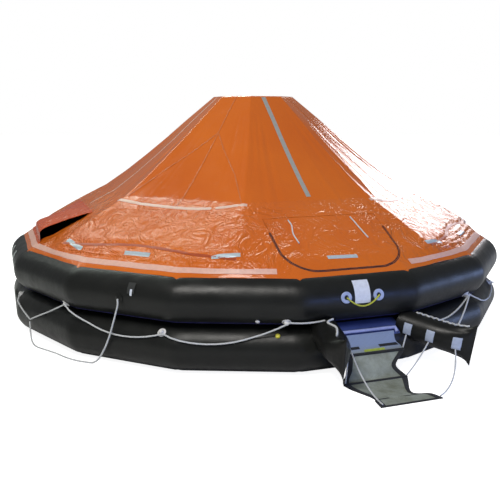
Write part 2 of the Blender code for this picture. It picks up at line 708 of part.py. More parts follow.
def main():
    clear_scene()
    rubber = make_material("black_rubber", (0.035, 0.037, 0.036), 0.35)
    cloth = make_material("orange_cloth", (0.83, 0.2, 0.035), 0.3)
    floor_cloth = make_material("dark_floor_cloth", (0.05, 0.052, 0.05), 0.6)
    rope = make_material("white_rope", (0.8, 0.82, 0.85), 0.7)
    plastic = make_material("pale_plastic", (0.72, 0.75, 0.8), 0.5)
    yellow = make_material("yellow_line", (0.85, 0.85, 0.1), 0.6)
    blue = make_material("pale_blue_bar", (0.45, 0.55, 0.85), 0.45)
    mesh_cloth = make_material("grey_mesh_cloth", (0.42, 0.43, 0.4), 0.8)
    webbing = make_material("webbing", (0.6, 0.65, 0.2), 0.7)
    strap = make_material("black_webbing", (0.03, 0.03, 0.03), 0.8)
    steel = make_material("painted_steel", (0.12, 0.13, 0.14), 0.4, 0.5)

    make_object("lower_tube", ring_tube(LOWER_Z, TUBE_RADIUS), rubber)
    make_object("upper_tube", ring_tube(UPPER_Z, TUBE_RADIUS), rubber)
    make_guide("lower_tube_space", ring_tube(LOWER_Z, TUBE_RADIUS + GAP))

    build_floor(floor_cloth)
    build_pockets(floor_cloth)
    build_canopy(cloth)
    build_column(rubber, CANOPY_TOP - CANOPY_DROP - GAP)
    for side, azimuth in (("front", 0), ("rear", 180)):
        turn = Matrix.Rotation(math.radians(azimuth), 4, "Z")
        build_door(side, azimuth, cloth)
        for arm in RAMP_ARMS:
            build_ramp_arm(side, turn, arm, rubber)
        build_boarding_bar(side, turn, blue)
        build_ladder(side, turn, mesh_cloth)
        build_bridle(side, turn, plastic, yellow)
        for hand, places in LIFELINE_PLACES.items():
            build_lifeline(f"{side}_{hand}", places, turn, rope)
    for side, azimuth in (("left", -90), ("right", 90)):
        build_side_hood(side, azimuth, cloth)
        build_side_ladder(side, azimuth, webbing)
    build_card(plastic)
    build_cylinder(steel, strap)
    build_side_rope(rope, plastic)
    build_valve("inflation_valve", -14.9, LOWER_Z, 45, 0.022, 0.014, yellow)
    build_valve("relief_valve", -18.7, UPPER_Z, -45, 0.02, 0.012, plastic)


main()
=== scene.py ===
import json
import math

import bmesh
import bpy
from mathutils import Matrix, Vector, noise

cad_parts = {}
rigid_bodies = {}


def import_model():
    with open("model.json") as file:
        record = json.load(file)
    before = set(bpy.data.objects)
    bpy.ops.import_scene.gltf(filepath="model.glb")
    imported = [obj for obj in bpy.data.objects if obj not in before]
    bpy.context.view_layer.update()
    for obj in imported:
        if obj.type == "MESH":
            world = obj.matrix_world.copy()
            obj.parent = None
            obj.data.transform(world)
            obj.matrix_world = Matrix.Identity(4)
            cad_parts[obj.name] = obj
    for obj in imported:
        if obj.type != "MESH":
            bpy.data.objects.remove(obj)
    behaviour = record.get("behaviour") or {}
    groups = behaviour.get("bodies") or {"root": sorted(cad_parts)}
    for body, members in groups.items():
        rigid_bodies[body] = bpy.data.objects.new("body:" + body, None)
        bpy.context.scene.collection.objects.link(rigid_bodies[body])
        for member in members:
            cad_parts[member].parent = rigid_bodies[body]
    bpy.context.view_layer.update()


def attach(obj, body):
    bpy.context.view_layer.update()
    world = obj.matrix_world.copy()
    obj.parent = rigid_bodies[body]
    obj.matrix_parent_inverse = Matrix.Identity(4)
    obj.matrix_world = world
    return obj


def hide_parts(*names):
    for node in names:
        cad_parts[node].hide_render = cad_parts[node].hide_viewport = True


for leftOver in list(bpy.data.objects):
    bpy.data.objects.remove(leftOver, do_unlink=True)

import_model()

# The raft stands on the ground at the origin. Azimuth 0 is the front entrance (-Y) and grows towards +X.
raft = {"sides": 16, "radius": 0.22, "apothem": 2.638, "lowerZ": 0.22, "upperZ": 0.6603}
stepAngle = 360 / raft["sides"]
entrances = (("Front", 0), ("Rear", 180))  # the rear is the front once more, half a turn round


# Places on the raft

def outward(azimuth):
    angle = math.radians(azimuth)
    return Vector((math.sin(angle), -math.cos(angle), 0))


def along(azimuth):
    angle = math.radians(azimuth)
    return Vector((math.cos(angle), math.sin(angle), 0))


def halfTurn(angle):
    return Matrix.Rotation(math.radians(angle), 4, "Z")


def mix(a, b, share):
    return a + (b - a) * share


def smoothStep(low, high, value):
    t = min(max((value - low) / (high - low), 0), 1)
    return t * t * (3 - 2 * t)


def table(rows, value):
    # the row at this value, between the rows of a table whose first column grows
    for low, high in zip(rows, rows[1:]):
        if value <= high[0] or high is rows[-1]:
            share = (value - low[0]) / (high[0] - low[0])
            return [mix(a, b, share) for a, b in zip(low, high)]


def easedTable(rows, value):
    # as table, on a smooth curve through the rows
    last = len(rows) - 1
    for index in range(last):
        if value <= rows[index + 1][0] or index == last - 1:
            t = (value - rows[index][0]) / (rows[index + 1][0] - rows[index][0])
            p0, p1 = rows[max(index - 1, 0)], rows[index]
            p2, p3 = rows[index + 1], rows[min(index + 2, last)]
            return [
                0.5 * (2 * b + (c - a) * t + (2 * a - 5 * b + 4 * c - d) * t * t + (3 * b - a - 3 * c + d) * t ** 3)
                for a, b, c, d in zip(p0, p1, p2, p3)
            ]


def segmentAzimuth(azimuth):
    return round(azimuth / stepAngle) * stepAngle


def ringPoint(azimuth, offset, height):
    # beside the straight tube segment at this azimuth, the offset counted from the tube's own axis
    turn = math.radians(azimuth - segmentAzimuth(azimuth))
    return outward(azimuth) * ((raft["apothem"] + offset) / math.cos(turn)) + Vector((0, 0, height))


def tubeSeat(azimuth, height, angle, lift=0.0):
    # on a tube's skin: x along the tube, y up round it, z out of it
    segment = segmentAzimuth(azimuth)
    out = outward(segment)
    rise = math.radians(angle)
    normal = out * math.cos(rise) + Vector((0, 0, math.sin(rise)))
    upward = Vector((0, 0, math.cos(rise))) - out * math.sin(rise)
    seat = Matrix((along(segment), upward, normal)).transposed().to_4x4()
    slide = raft["apothem"] * math.tan(math.radians(azimuth - segment))
    seat.translation = (out * raft["apothem"] + along(segment) * slide + Vector((0, 0, height))
                        + normal * (raft["radius"] + lift))
    return seat


def smoothRoute(points, steps):
    # points on a smooth curve through the given ones
    route = []
    last = len(points) - 1
    for index in range(last):
        p0 = points[max(index - 1, 0)]
        p1 = points[index]
        p2 = points[index + 1]
        p3 = points[min(index + 2, last)]
        for part in range(steps):
            t = part / steps
            route.append(
                0.5 * (2 * p1 + (p2 - p0) * t + (2 * p0 - 5 * p1 + 4 * p2 - p3) * t * t
                       + (3 * p1 - p0 - 3 * p2 + p3) * t * t * t)
            )
    route.append(points[-1])
    return route


def smoothFlat(path, steps=8):
    return [(point.x, point.y) for point in smoothRoute([Vector((a, b, 0)) for a, b in path], steps)]


def routeLengths(points):
    lengths = [0.0]
    for a, b in zip(points, points[1:]):
        lengths.append(lengths[-1] + (b - a).length)
    return lengths


def evenRoute(points, count):
    # the same route in steps of one length
    lengths = routeLengths(points)
    even = []
    index = 0
    for part in range(count + 1):
        goal = lengths[-1] * part / count
        while index < len(points) - 2 and lengths[index + 1] < goal:
            index += 1
        span = max(lengths[index + 1] - lengths[index], 1e-9)
        even.append(points[index].lerp(points[index + 1], min((goal - lengths[index]) / span, 1)))
    return even


def sagged(start, end, sag, steps=14, sideways=Vector()):
    points = []
    for part in range(steps + 1):
        share = part / steps
        drop = 4 * share * (1 - share)
        points.append(start.lerp(end, share) + (sideways - Vector((0, 0, sag))) * drop)
    return points


# Making pieces

def newPiece(name, bm, material, slot, body="raft", stands=(), sharpAngle=40):
    bmesh.ops.remove_doubles(bm, verts=bm.verts, dist=1e-5)
    bmesh.ops.recalc_face_normals(bm, faces=bm.faces)
    mesh = bpy.data.meshes.new(name)
    bm.to_mesh(mesh)
    bm.free()
    mesh.shade_smooth()
    mesh.set_sharp_from_angle(angle=math.radians(sharpAngle))
    mesh.materials.append(material)
    piece = bpy.data.objects.new(name, mesh)
    bpy.context.scene.collection.objects.link(piece)
    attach(piece, body)
    if stands:
        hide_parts(*stands)
    return piece


def gridMesh(across, down, place, size=(1.0, 1.0)):
    # a grid of cloth: place(u, v) says where each of its points goes, and the UV map keeps its flat size
    bm = bmesh.new()
    bmesh.ops.create_grid(bm, x_segments=across, y_segments=down, size=0.5)
    flat = bm.loops.layers.uv.new("flat")
    for face in bm.faces:
        for loop in face.loops:
            loop[flat].uv = ((loop.vert.co.x + 0.5) * size[0], (loop.vert.co.y + 0.5) * size[1])
    for vert in bm.verts:
        vert.co = place(vert.co.x + 0.5, vert.co.y + 0.5)
    return bm


def thicken(bm, thickness):
    # a closed skin from an open sheet, grown away from the side that its faces look to
    bmesh.ops.solidify(bm, geom=bm.faces[:], thickness=thickness)
    return bm


def closeEnds(bm):
    bmesh.ops.remove_doubles(bm, verts=bm.verts, dist=1e-6)
    bmesh.ops.holes_fill(bm, edges=[edge for edge in bm.edges if edge.is_boundary], sides=0)
    return bm


def tubeMesh(points, radius, sides=8):
    # a round rope or rod along the points
    frames = []
    side = None
    for index, point in enumerate(points):
        before = points[max(index - 1, 0)]
        after = points[min(index + 1, len(points) - 1)]
        direction = (after - before).normalized()
        if side is None:
            side = direction.orthogonal().normalized()
        side = (side - direction * side.dot(direction)).normalized()
        frames.append((point, side, direction.cross(side)))
    count = len(points) - 1

    def place(u, v):
        point, first, second = frames[round(u * count)]
        angle = 2 * math.pi * v
        return point + (first * math.cos(angle) + second * math.sin(angle)) * radius

    return closeEnds(gridMesh(count, sides, place, (routeLengths(points)[-1], 1.0)))


def spinMesh(profile, seat, steps=32):
    # a round shape: the profile is (distance from the seat's z axis, height)
    bm = bmesh.new()
    points = [bm.verts.new((distance, 0, height)) for distance, height in profile]
    edges = [bm.edges.new(pair) for pair in zip(points, points[1:])]
    bmesh.ops.spin(bm, geom=points + edges, cent=(0, 0, 0), axis=(0, 0, 1), angle=2 * math.pi, steps=steps,
                   use_merge=True)
    bmesh.ops.remove_doubles(bm, verts=bm.verts, dist=1e-6)
    bmesh.ops.transform(bm, matrix=seat, verts=bm.verts)
    return bm


# The camera stands where the photograph was taken
view = {"place": (-2.940, -8.1945, 2.2774), "tilt": 79.08, "turn": -19.74, "lens": 50.83, "shift": -0.00585}


def setCamera():
    data = bpy.data.cameras.new("view")
    data.lens = view["lens"]
    data.sensor_width = 36
    data.shift_x = view["shift"]
    data.clip_end = 200
    camera = bpy.data.objects.new("view", data)
    camera.location = view["place"]
    camera.rotation_euler = (math.radians(view["tilt"]), 0, math.radians(view["turn"]))
    bpy.context.scene.collection.objects.link(camera)
    bpy.context.scene.camera = camera


setCamera()
print("camera set")


# Finishes

class Finish:
    # a material with its shader, and short ways to add and join nodes
    def __init__(self, name, colour, roughness, **sockets):
        self.material = bpy.data.materials.new(name)
        self.material.use_nodes = True
        self.tree = self.material.node_tree
        self.shader = self.tree.nodes["Principled BSDF"]
        self.shader.inputs["Base Color"].default_value = (*colour, 1)
        self.shader.inputs["Roughness"].default_value = roughness
        for socket, value in sockets.items():
            self.shader.inputs[socket.replace("_", " ")].default_value = value
        self.place = self.add("ShaderNodeTexCoord").outputs["Object"]

    def add(self, kind, **settings):
        node = self.tree.nodes.new(kind)
        for key, value in settings.items():
            setattr(node, key, value)
        return node

    def link(self, source, target):
        self.tree.links.new(source, target)

    def noise(self, scale, detail=3.0, roughness=0.5, distortion=0.0):
        node = self.add("ShaderNodeTexNoise")
        node.inputs["Scale"].default_value = scale
        node.inputs["Detail"].default_value = detail
        node.inputs["Roughness"].default_value = roughness
        node.inputs["Distortion"].default_value = distortion
        self.link(self.place, node.inputs["Vector"])
        return node.outputs["Fac"]

    def cells(self, scale, randomness=1.0):
        node = self.add("ShaderNodeTexVoronoi", feature="DISTANCE_TO_EDGE")
        node.inputs["Scale"].default_value = scale
        node.inputs["Randomness"].default_value = randomness
        self.link(self.place, node.inputs["Vector"])
        return node.outputs["Distance"]

    def ramp(self, source, low, high, lowValue=0.0, highValue=1.0):
        node = self.add("ShaderNodeMapRange")
        node.inputs["From Min"].default_value = low
        node.inputs["From Max"].default_value = high
        node.inputs["To Min"].default_value = lowValue
        node.inputs["To Max"].default_value = highValue
        self.link(source, node.inputs["Value"])
        return node.outputs["Result"]

    def math(self, operation, first, second=0.0):
        node = self.add("ShaderNodeMath", operation=operation)
        for socket, value in zip(node.inputs, (first, second)):
            if isinstance(value, (int, float)):
                socket.default_value = value
            else:
                self.link(value, socket)
        return node.outputs["Value"]

    def blend(self, share, first, second):
        node = self.add("ShaderNodeMix", data_type="RGBA")
        for index, value in ((6, first), (7, second)):
            if isinstance(value, tuple):
                node.inputs[index].default_value = (*value, 1)
            else:
                self.link(value, node.inputs[index])
        self.link(share, node.inputs[0])
        return node.outputs[2]

    def painted(self, name):
        return self.add("ShaderNodeAttribute", attribute_name=name).outputs["Fac"]

    def uvParts(self):
        parts = self.add("ShaderNodeSeparateXYZ")
        self.link(self.add("ShaderNodeUVMap", uv_map="flat").outputs["UV"], parts.inputs["Vector"])
        return parts.outputs["X"], parts.outputs["Y"]

    def wave(self, source, pitch):
        # 0 to 1 and back in each pitch
        return self.ramp(self.math("SINE", self.math("MULTIPLY", source, 2 * math.pi / pitch)), -1, 1)

    def bump(self, *heights):
        # each height is (source, distance in metres), stacked in order
        normal = None
        for source, distance in heights:
            node = self.add("ShaderNodeBump")
            node.inputs["Strength"].default_value = 1.0
            node.inputs["Distance"].default_value = distance
            self.link(source, node.inputs["Height"])
            if normal:
                self.link(normal, node.inputs["Normal"])
            normal = node.outputs["Normal"]
        self.link(normal, self.shader.inputs["Normal"])

    def colour(self, source):
        self.link(source, self.shader.inputs["Base Color"])

    def roughness(self, source):
        self.link(source, self.shader.inputs["Roughness"])


def scaled(colour, share):
    return tuple(value * share for value in colour)


def rubberFinish(name, colour, roughness, specular=0.3):
    finish = Finish(name, colour, roughness, Specular_IOR_Level=specular)
    finish.colour(finish.blend(finish.ramp(finish.noise(2.2, 4, 0.6), 0.35, 0.75), colour, scaled(colour, 1.6)))
    finish.roughness(finish.ramp(finish.noise(5, 5, 0.65), 0.3, 0.75, roughness - 0.05, roughness + 0.12))
    finish.bump((finish.noise(7, 3), 0.004), (finish.noise(420, 2), 0.0003))
    return finish.material


def canopyFinish(name, colours, roughness):
    finish = Finish(name, colours[0], roughness, Specular_IOR_Level=0.5)
    finish.colour(finish.blend(finish.ramp(finish.noise(0.9, 3, 0.5), 0.3, 0.7), *colours))
    finish.roughness(finish.ramp(finish.noise(6, 4, 0.6), 0.3, 0.7, roughness - 0.04, roughness + 0.08))
    crumple = finish.painted("crumple")
    creased = finish.math("ABSOLUTE", finish.math("SUBTRACT", finish.noise(4.5, 3, 0.55, 1.2), 0.5))
    creases = finish.math("MULTIPLY", finish.ramp(creased, 0, 0.14), crumple)
    fine = finish.math("MULTIPLY", finish.noise(22, 4, 0.6, 0.6), crumple)
    finish.bump((creases, 0.009), (fine, 0.007), (finish.noise(300, 2), 0.0002))
    return finish.material


def tapeFinish(name, colour, roughness, metallic=0.0, cells=0.0):
    finish = Finish(name, colour, roughness, Metallic=metallic)
    worn = finish.ramp(finish.noise(30, 4, 0.6), 0.35, 0.7)
    finish.colour(finish.blend(worn, colour, scaled(colour, 0.86)))
    fine = (finish.cells(cells, 0.2), 0.0006) if cells else (finish.noise(500, 2), 0.0003)
    finish.bump((finish.noise(60, 3), 0.001), fine)
    return finish.material


def ropeFinish(name, colour, grooveShade, pitch=0.03, strands=3):
    # strands laid round the rope: its UV map runs along it in metres and once round it, and painted shade darkens the
    # grooves between the strands
    finish = Finish(name, colour, 0.72, Sheen_Weight=0.15)
    run, turn = finish.uvParts()
    twist = finish.math("ADD", finish.math("MULTIPLY", run, strands / pitch), finish.math("MULTIPLY", turn, strands))
    lay = finish.wave(twist, 1.0)
    finish.colour(finish.blend(finish.ramp(lay, 0.05, 0.55), grooveShade, colour))
    finish.bump((lay, 0.002), (finish.noise(900, 2), 0.0004))
    return finish.material


def webbingFinish(name, colour, pitch=0.0022):
    finish = Finish(name, colour, 0.75, Sheen_Weight=0.1)
    worn = finish.ramp(finish.noise(25, 4, 0.6), 0.35, 0.7)
    finish.colour(finish.blend(worn, colour, scaled(colour, 0.7)))
    run, width = finish.uvParts()
    finish.bump((finish.math("MAXIMUM", finish.wave(run, pitch), finish.wave(width, pitch)), 0.0006))
    return finish.material


def meshFinish(pitch=0.012):
    # the ladder's open mesh cloth, stained, with a painted blue light where it hangs and painted shade in its holes
    finish = Finish("ladderMesh", (0.30, 0.32, 0.29), 0.7)
    run, width = finish.uvParts()
    holes = finish.ramp(finish.math("MINIMUM", finish.wave(run, pitch), finish.wave(width, pitch)), 0.4, 0.75)
    stained = finish.ramp(finish.noise(5, 5, 0.65), 0.35, 0.65)
    threads = finish.blend(stained, (0.20, 0.22, 0.17), (0.36, 0.40, 0.36))
    # a painted blue light on the threads where the cloth hangs
    blueLitThreads = finish.blend(finish.painted("blueLightShare"), threads, (0.27, 0.35, 0.54))
    # the holes are painted dark as shade
    finish.colour(finish.blend(finish.ramp(holes, 0, 1, 0, 0.45), blueLitThreads, (0.09, 0.10, 0.09)))
    finish.bump((finish.noise(14, 3), 0.006), (holes, -0.0008))
    return finish.material


rubber = rubberFinish("raftRubber", (0.0090, 0.0096, 0.0088), 0.34)
armRubber = rubberFinish("armRubber", (0.0075, 0.0078, 0.0072), 0.34)
floorCloth = rubberFinish("floorCloth", (0.022, 0.023, 0.023), 0.6)
orangeCloth = canopyFinish("canopyCloth", ((0.62, 0.122, 0.010), (0.70, 0.160, 0.013)), 0.17)
hoodCloth = canopyFinish("hoodCloth", ((0.60, 0.070, 0.010), (0.66, 0.10, 0.012)), 0.25)
# a darker orange that paints the shadow under the skirt's upper edge
edgeShadowCloth = tapeFinish("edgeShadowCloth", (0.42, 0.060, 0.006), 0.4)
hemTape = tapeFinish("hemTape", (0.80, 0.47, 0.38), 0.4)
gutterTape = tapeFinish("gutterTape", (0.82, 0.58, 0.48), 0.35)
seamTape = tapeFinish("seamTape", (0.62, 0.155, 0.03), 0.3)
silverTape = tapeFinish("silverTape", (0.44, 0.46, 0.44), 0.35, 0.2, 260)
reflector = tapeFinish("reflector", (0.52, 0.62, 0.68), 0.3, 0.1, 260)
patchRubber = tapeFinish("patchRubber", (0.46, 0.53, 0.68), 0.55)
discPlastic = tapeFinish("discPlastic", (0.40, 0.48, 0.74), 0.5)
whiteTape = tapeFinish("whiteTape", (0.80, 0.80, 0.80), 0.6)
yellowCap = tapeFinish("yellowCap", (0.72, 0.66, 0.05), 0.4)
cardFace = tapeFinish("cardFace", (0.72, 0.77, 0.88), 0.45)
# the joint tape's blue is a painted reflection of blue light on a smooth band, not the tape's own colour
jointTapeBlueSheen = tapeFinish("jointTapeBlueSheen", (0.035, 0.035, 0.14), 0.4)
clearTag = tapeFinish("clearTag", (0.045, 0.048, 0.047), 0.2)
barPatch = tapeFinish("barPatch", (0.045, 0.07, 0.24), 0.35)
zipTape = tapeFinish("zipTape", (0.030, 0.016, 0.02), 0.6)
blueBar = tapeFinish("blueBar", (0.34, 0.40, 0.74), 0.4)
# each rope's second colour is the painted shade in its grooves
whiteRope = ropeFinish("whiteRope", (0.80, 0.82, 0.84), (0.42, 0.45, 0.48))
yellowLine = ropeFinish("yellowLine", (0.72, 0.76, 0.06), (0.42, 0.44, 0.03), 0.02)
yellowWeb = webbingFinish("yellowWeb", (0.46, 0.56, 0.06))
blackWeb = webbingFinish("blackWeb", (0.016, 0.017, 0.018))
paleWeb = webbingFinish("paleWeb", (0.55, 0.63, 0.63))
ladderMesh = meshFinish()
paintedSteel = tapeFinish("paintedSteel", (0.10, 0.11, 0.12), 0.38, 0.6)
valveBrass = tapeFinish("valveBrass", (0.45, 0.33, 0.14), 0.35, 0.9)
print("finishes made")


# The loose line, the one free cord: from its patch down to the ground and up to the lifeline
looseLine = {
    "radius": 0.008, "steps": 4, "floor": 0.0083, "patchAzimuth": -44.4,
    # azimuth, offset from the tube's axis, height
    "places": (
        (-44.4, 0.2483, 0.66), (-44.4, 0.2523, 0.60), (-44.9, 0.2523, 0.52), (-45.7, 0.2523, 0.40),
        (-46.6, 0.2523, 0.28), (-47.9, 0.2523, 0.15), (-49.4, 0.2483, 0.05), (-51.2, 0.2383, 0.0085),
        (-54.0, 0.245, 0.0085), (-57.0, 0.235, 0.0085), (-60.5, 0.250, 0.0085), (-64.0, 0.280, 0.0085),
        (-66.6, 0.300, 0.0085), (-68.8, 0.292, 0.03), (-70.3, 0.270, 0.09), (-71.2, 0.252, 0.15),
        (-71.6, 0.242, 0.2025),
    ),
}


def buildLooseLine():
    route = smoothRoute([ringPoint(*place) for place in looseLine["places"]], looseLine["steps"])
    for point in route:
        point.z = max(point.z, looseLine["floor"])
    piece = newPiece("looseLine", tubeMesh(route, looseLine["radius"], 10), whiteRope, "white_rope",
                     stands=["side_rope"])
    length = routeLengths(route)[-1]
    print(f"loose line {length:.3f} m")


buildLooseLine()


# Buoyancy tubes: straight inflated segments, mitred and pinched at each corner
tubes = {"stations": 18, "around": 56, "pinch": 0.006, "pinchWidth": 0.016, "wrinkle": 0.0028,
         "wrinkleReach": 0.09, "inset": 0.0012}
jointStrip = {"from": -60, "to": -54.5, "lift": 0.001, "thickness": 0.002}


def tubePoint(height, u, v):
    turn = u * raft["sides"]
    segment = min(int(turn), raft["sides"] - 1)
    share = 0.5 - 0.5 * math.cos(math.pi * (turn - segment))  # rings lie closer near the corners
    half = raft["apothem"] * math.tan(math.radians(stepAngle / 2))
    angle = 2 * math.pi * v
    place = (2 * share - 1) * half
    fromCorner = half * (1 - abs(2 * share - 1))
    pinch = math.exp(-((fromCorner / tubes["pinchWidth"]) ** 2))
    ripple = math.exp(-fromCorner / tubes["wrinkleReach"]) * (1 - pinch)
    corner = (segment + round(share)) % raft["sides"]
    waves = noise.noise(Vector((4.5 * math.cos(angle), 4.5 * math.sin(angle), 7 * corner + height)))
    size = raft["radius"] - tubes["inset"] - tubes["pinch"] * pinch - tubes["wrinkle"] * ripple * (1 - waves) / 2
    across = raft["apothem"] + size * math.cos(angle)
    middle = segment * stepAngle
    spot = outward(middle) * across + along(middle) * (place * across / raft["apothem"])
    spot.z = height + size * math.sin(angle)
    return spot


def buildTubes():
    for name, height in (("lower", raft["lowerZ"]), ("upper", raft["upperZ"])):
        bm = gridMesh(raft["sides"] * tubes["stations"], tubes["around"],
                      lambda u, v: tubePoint(height, u, v), (17.0, 1.4))
        newPiece(f"{name}Tube", bm, rubber, "black_rubber", stands=[f"{name}_tube"], sharpAngle=60)

    # a thin tape round the upper tube, above the joint between the two, coloured blue as a painted reflection of blue
    # light
    def place(u, v):
        rise = math.radians(mix(jointStrip["from"], jointStrip["to"], v))
        reach = raft["radius"] + jointStrip["lift"]
        return ringPoint(360 * u, reach * math.cos(rise), raft["upperZ"] + reach * math.sin(rise))

    bm = gridMesh(raft["sides"] * 12, 2, place, (17.0, 0.02))
    bmesh.ops.remove_doubles(bm, verts=bm.verts, dist=1e-5)
    newPiece("tubeJointTapeBlueSheen", thicken(bm, jointStrip["thickness"]), jointTapeBlueSheen, "black_rubber")


buildTubes()
print("tubes made")


# Canopy: the cloth's own outline, then its relief of seams, folds and crumples
canopy = {
    # height, distance of the flat sides from the axis, share of the eight-sided outline
    "levels": (
        (0.80, 2.80, 0.0), (0.871, 2.70, 0.0), (1.0, 2.513, 0.45), (1.21, 2.1015, 0.8), (1.42, 1.69, 1.0),
        (1.6, 1.446, 1.0), (1.8, 1.201, 1.0), (2.0, 0.97, 1.0), (2.2, 0.753, 1.0), (2.483, 0.431, 1.0),
    ),
    "gutterZ": 1.42, "gutterApothem": 1.69, "slope": math.atan2(0.42, 0.823),
    "footZ": 0.815, "topZ": 2.478, "around": 640, "skirtRows": 50, "tentRows": 44, "thickness": 0.005,
    "crease": 0.0046, "edgeZ": 1.052, "edgeRise": 0.022, "edgeStep": 0.013, "foldStep": 0.006,
    "foldPitch": 0.034, "pleat": 0.006, "shoulder": 0.022,
}
doorway = {"halfWidth": 0.60, "head": 0.28, "foot": 1.085, "corner": 0.30, "topCorner": 0.0}
sideway = {"halfWidth": 0.57, "head": 0.42, "foot": 1.0, "corner": 0.2, "topCorner": 0.08}


def canopyReach(azimuth, height):
    _, apothem, share = table(canopy["levels"], height)
    eight = apothem / math.cos(math.radians((azimuth + 22.5) % 45 - 22.5))
    sixteen = apothem / math.cos(math.radians((azimuth + 11.25) % 22.5 - 11.25))
    return mix(sixteen, eight, share)


def canopySpot(azimuth, height):
    return outward(azimuth) * canopyReach(azimuth, height) + Vector((0, 0, height))


def canopyNormal(azimuth, height):
    low = max(height - 0.01, canopy["footZ"])
    high = min(height + 0.01, canopy["topZ"])
    sideways = canopySpot(azimuth + 0.4, height) - canopySpot(azimuth - 0.4, height)
    upward = canopySpot(azimuth, high) - canopySpot(azimuth, low)
    return sideways.cross(upward).normalized()


def ridged(point):
    return 1 - 2 * abs(noise.noise(point))


def crumpleShare(azimuth, height):
    # the skirt is crumpled, its doors less so, and the tent above the gutters is nearly smooth
    skirt = (1 - smoothStep(1.32, 1.47, height)) * smoothStep(0.85, 0.97, height)
    fromDoor = abs((azimuth + 90) % 180 - 90)
    return 0.10 + 0.90 * skirt * mix(0.35, 1.0, smoothStep(9, 15, fromDoor))


def canopyRelief(azimuth, height):
    spot = canopySpot(azimuth, height)
    wander = noise.noise(spot * 1.7)
    bent = spot + Vector((wander, -wander, wander)) * 0.22
    creases = 0.5 * ridged(bent * 3.6) + 0.32 * ridged(bent * 8.3 + Vector((7, 3, 1))) + 0.18 * ridged(bent * 17)
    relief = canopy["crease"] * (creases - 0.4) * crumpleShare(azimuth, height)
    # between the entrances the skirt's upper cloth ends in an edge, and the cloth below it gathers in folds
    gusset = smoothStep(-0.1, 0.25, -math.cos(math.radians(4 * azimuth)))
    edge = canopy["edgeZ"] + canopy["edgeRise"] * math.cos(math.radians(8 * azimuth)) + 0.012 * wander
    step = smoothStep(edge - 0.008, edge + 0.006, height) * (1 - smoothStep(edge + 0.02, edge + 0.12, height))
    folds = smoothStep(0.93, 0.96, height) * (1 - smoothStep(edge - 0.04, edge - 0.01, height))
    level = (height + 0.03 * wander) * 2 * math.pi / canopy["foldPitch"]
    relief += gusset * (canopy["edgeStep"] * step + canopy["foldStep"] * folds * math.sin(level))
    # pleats run down to the gutter beside each ridge of the tent
    fromMiddle = abs((azimuth + 22.5) % 45 - 22.5)
    pleats = smoothStep(6, 14, fromMiddle) * smoothStep(1.2, 1.45, height) * (1 - smoothStep(1.9, 2.4, height))
    relief += canopy["pleat"] * pleats * (noise.noise(Vector((azimuth * 0.42, height * 1.3, 5))) - 0.2)
    # a long fold bulges between the right panel's front ridge and the pleats beside it
    turned = azimuth % 180
    fold = smoothStep(22.5, 29, turned) * (1 - smoothStep(33, 39.5, turned))
    relief += canopy["shoulder"] * fold * smoothStep(1.42, 1.6, height) * (1 - smoothStep(1.95, 2.35, height))
    return relief - 0.001


def canopyPoint(azimuth, height, lift=0.0):
    return canopySpot(azimuth, height) + canopyNormal(azimuth, height) * (canopyRelief(azimuth, height) + lift)


def panelFrame(azimuth):
    # origin on a panel's gutter line: x along it, y up the slope, z out of the cloth
    out = outward(azimuth)
    rise = canopy["slope"]
    upward = Vector((0, 0, math.sin(rise))) - out * math.cos(rise)
    normal = out * math.sin(rise) + Vector((0, 0, math.cos(rise)))
    place = Matrix((along(azimuth), upward, normal)).transposed().to_4x4()
    place.translation = out * canopy["gutterApothem"] + Vector((0, 0, canopy["gutterZ"]))
    return place


def panelPoint(azimuth, x, down, lift=0.0):
    # the cloth over a place on a panel, x along it and so far down the slope
    place = panelFrame(azimuth)
    level = 0.0
    for _ in range(8):
        spot = place @ Vector((x, -down, level))
        turned = math.degrees(math.atan2(spot.x, -spot.y))
        level += (canopyReach(turned, spot.z) - math.hypot(spot.x, spot.y)) / 2.2
    return canopyPoint(turned, spot.z, lift)


def roundedOutline(opening, inset=0.0, steps=8):
    # an opening's outline as (x, down the slope), from the foot round by the right side
    points = []
    half = opening["halfWidth"] - inset
    head = opening["head"] + inset
    foot = opening["foot"] - inset
    corner = opening["corner"] - inset
    for x, down, radius, start in (
        (half, foot, corner, -90), (half, head, opening["topCorner"], 0),
        (-half, head, opening["topCorner"], 90), (-half, foot, corner, 180),
    ):
        centreX = x - math.copysign(radius, x)
        centreDown = down - radius if down == foot else down + radius
        for index in range(steps + 1 if radius else 1):
            angle = math.radians(start + 90 * index / steps)
            points.append((centreX + radius * math.cos(angle), centreDown - radius * math.sin(angle)))
    return points


def inside(outline, x, down):
    crossings = 0
    for (ax, ay), (bx, by) in zip(outline, outline[1:] + outline[:1]):
        if (ay > down) != (by > down) and x < (bx - ax) * (down - ay) / (by - ay) + ax:
            crossings += 1
    return crossings % 2 == 1


def cutAlong(bm, azimuth, outline):
    # cuts the cloth along each straight of the outline, square to the panel
    place = panelFrame(azimuth)
    back = place.inverted()
    for (ax, ay), (bx, by) in zip(outline, outline[1:] + outline[:1]):
        start = Vector((ax, -ay, 0))
        straight = Vector((bx, -by, 0)) - start
        middle = start + straight / 2
        geometry = set()
        for face in bm.faces:
            spot = back @ face.calc_center_median()
            if abs(spot.z) < 0.3 and (Vector((spot.x, spot.y, 0)) - middle).length < straight.length / 2 + 0.04:
                geometry.add(face)
                geometry.update(face.edges)
                geometry.update(face.verts)
        square = Vector((straight.y, -straight.x, 0)).normalized()
        bmesh.ops.bisect_plane(
            bm, geom=list(geometry), dist=1e-5, plane_co=place @ start, plane_no=place.to_3x3() @ square,
        )


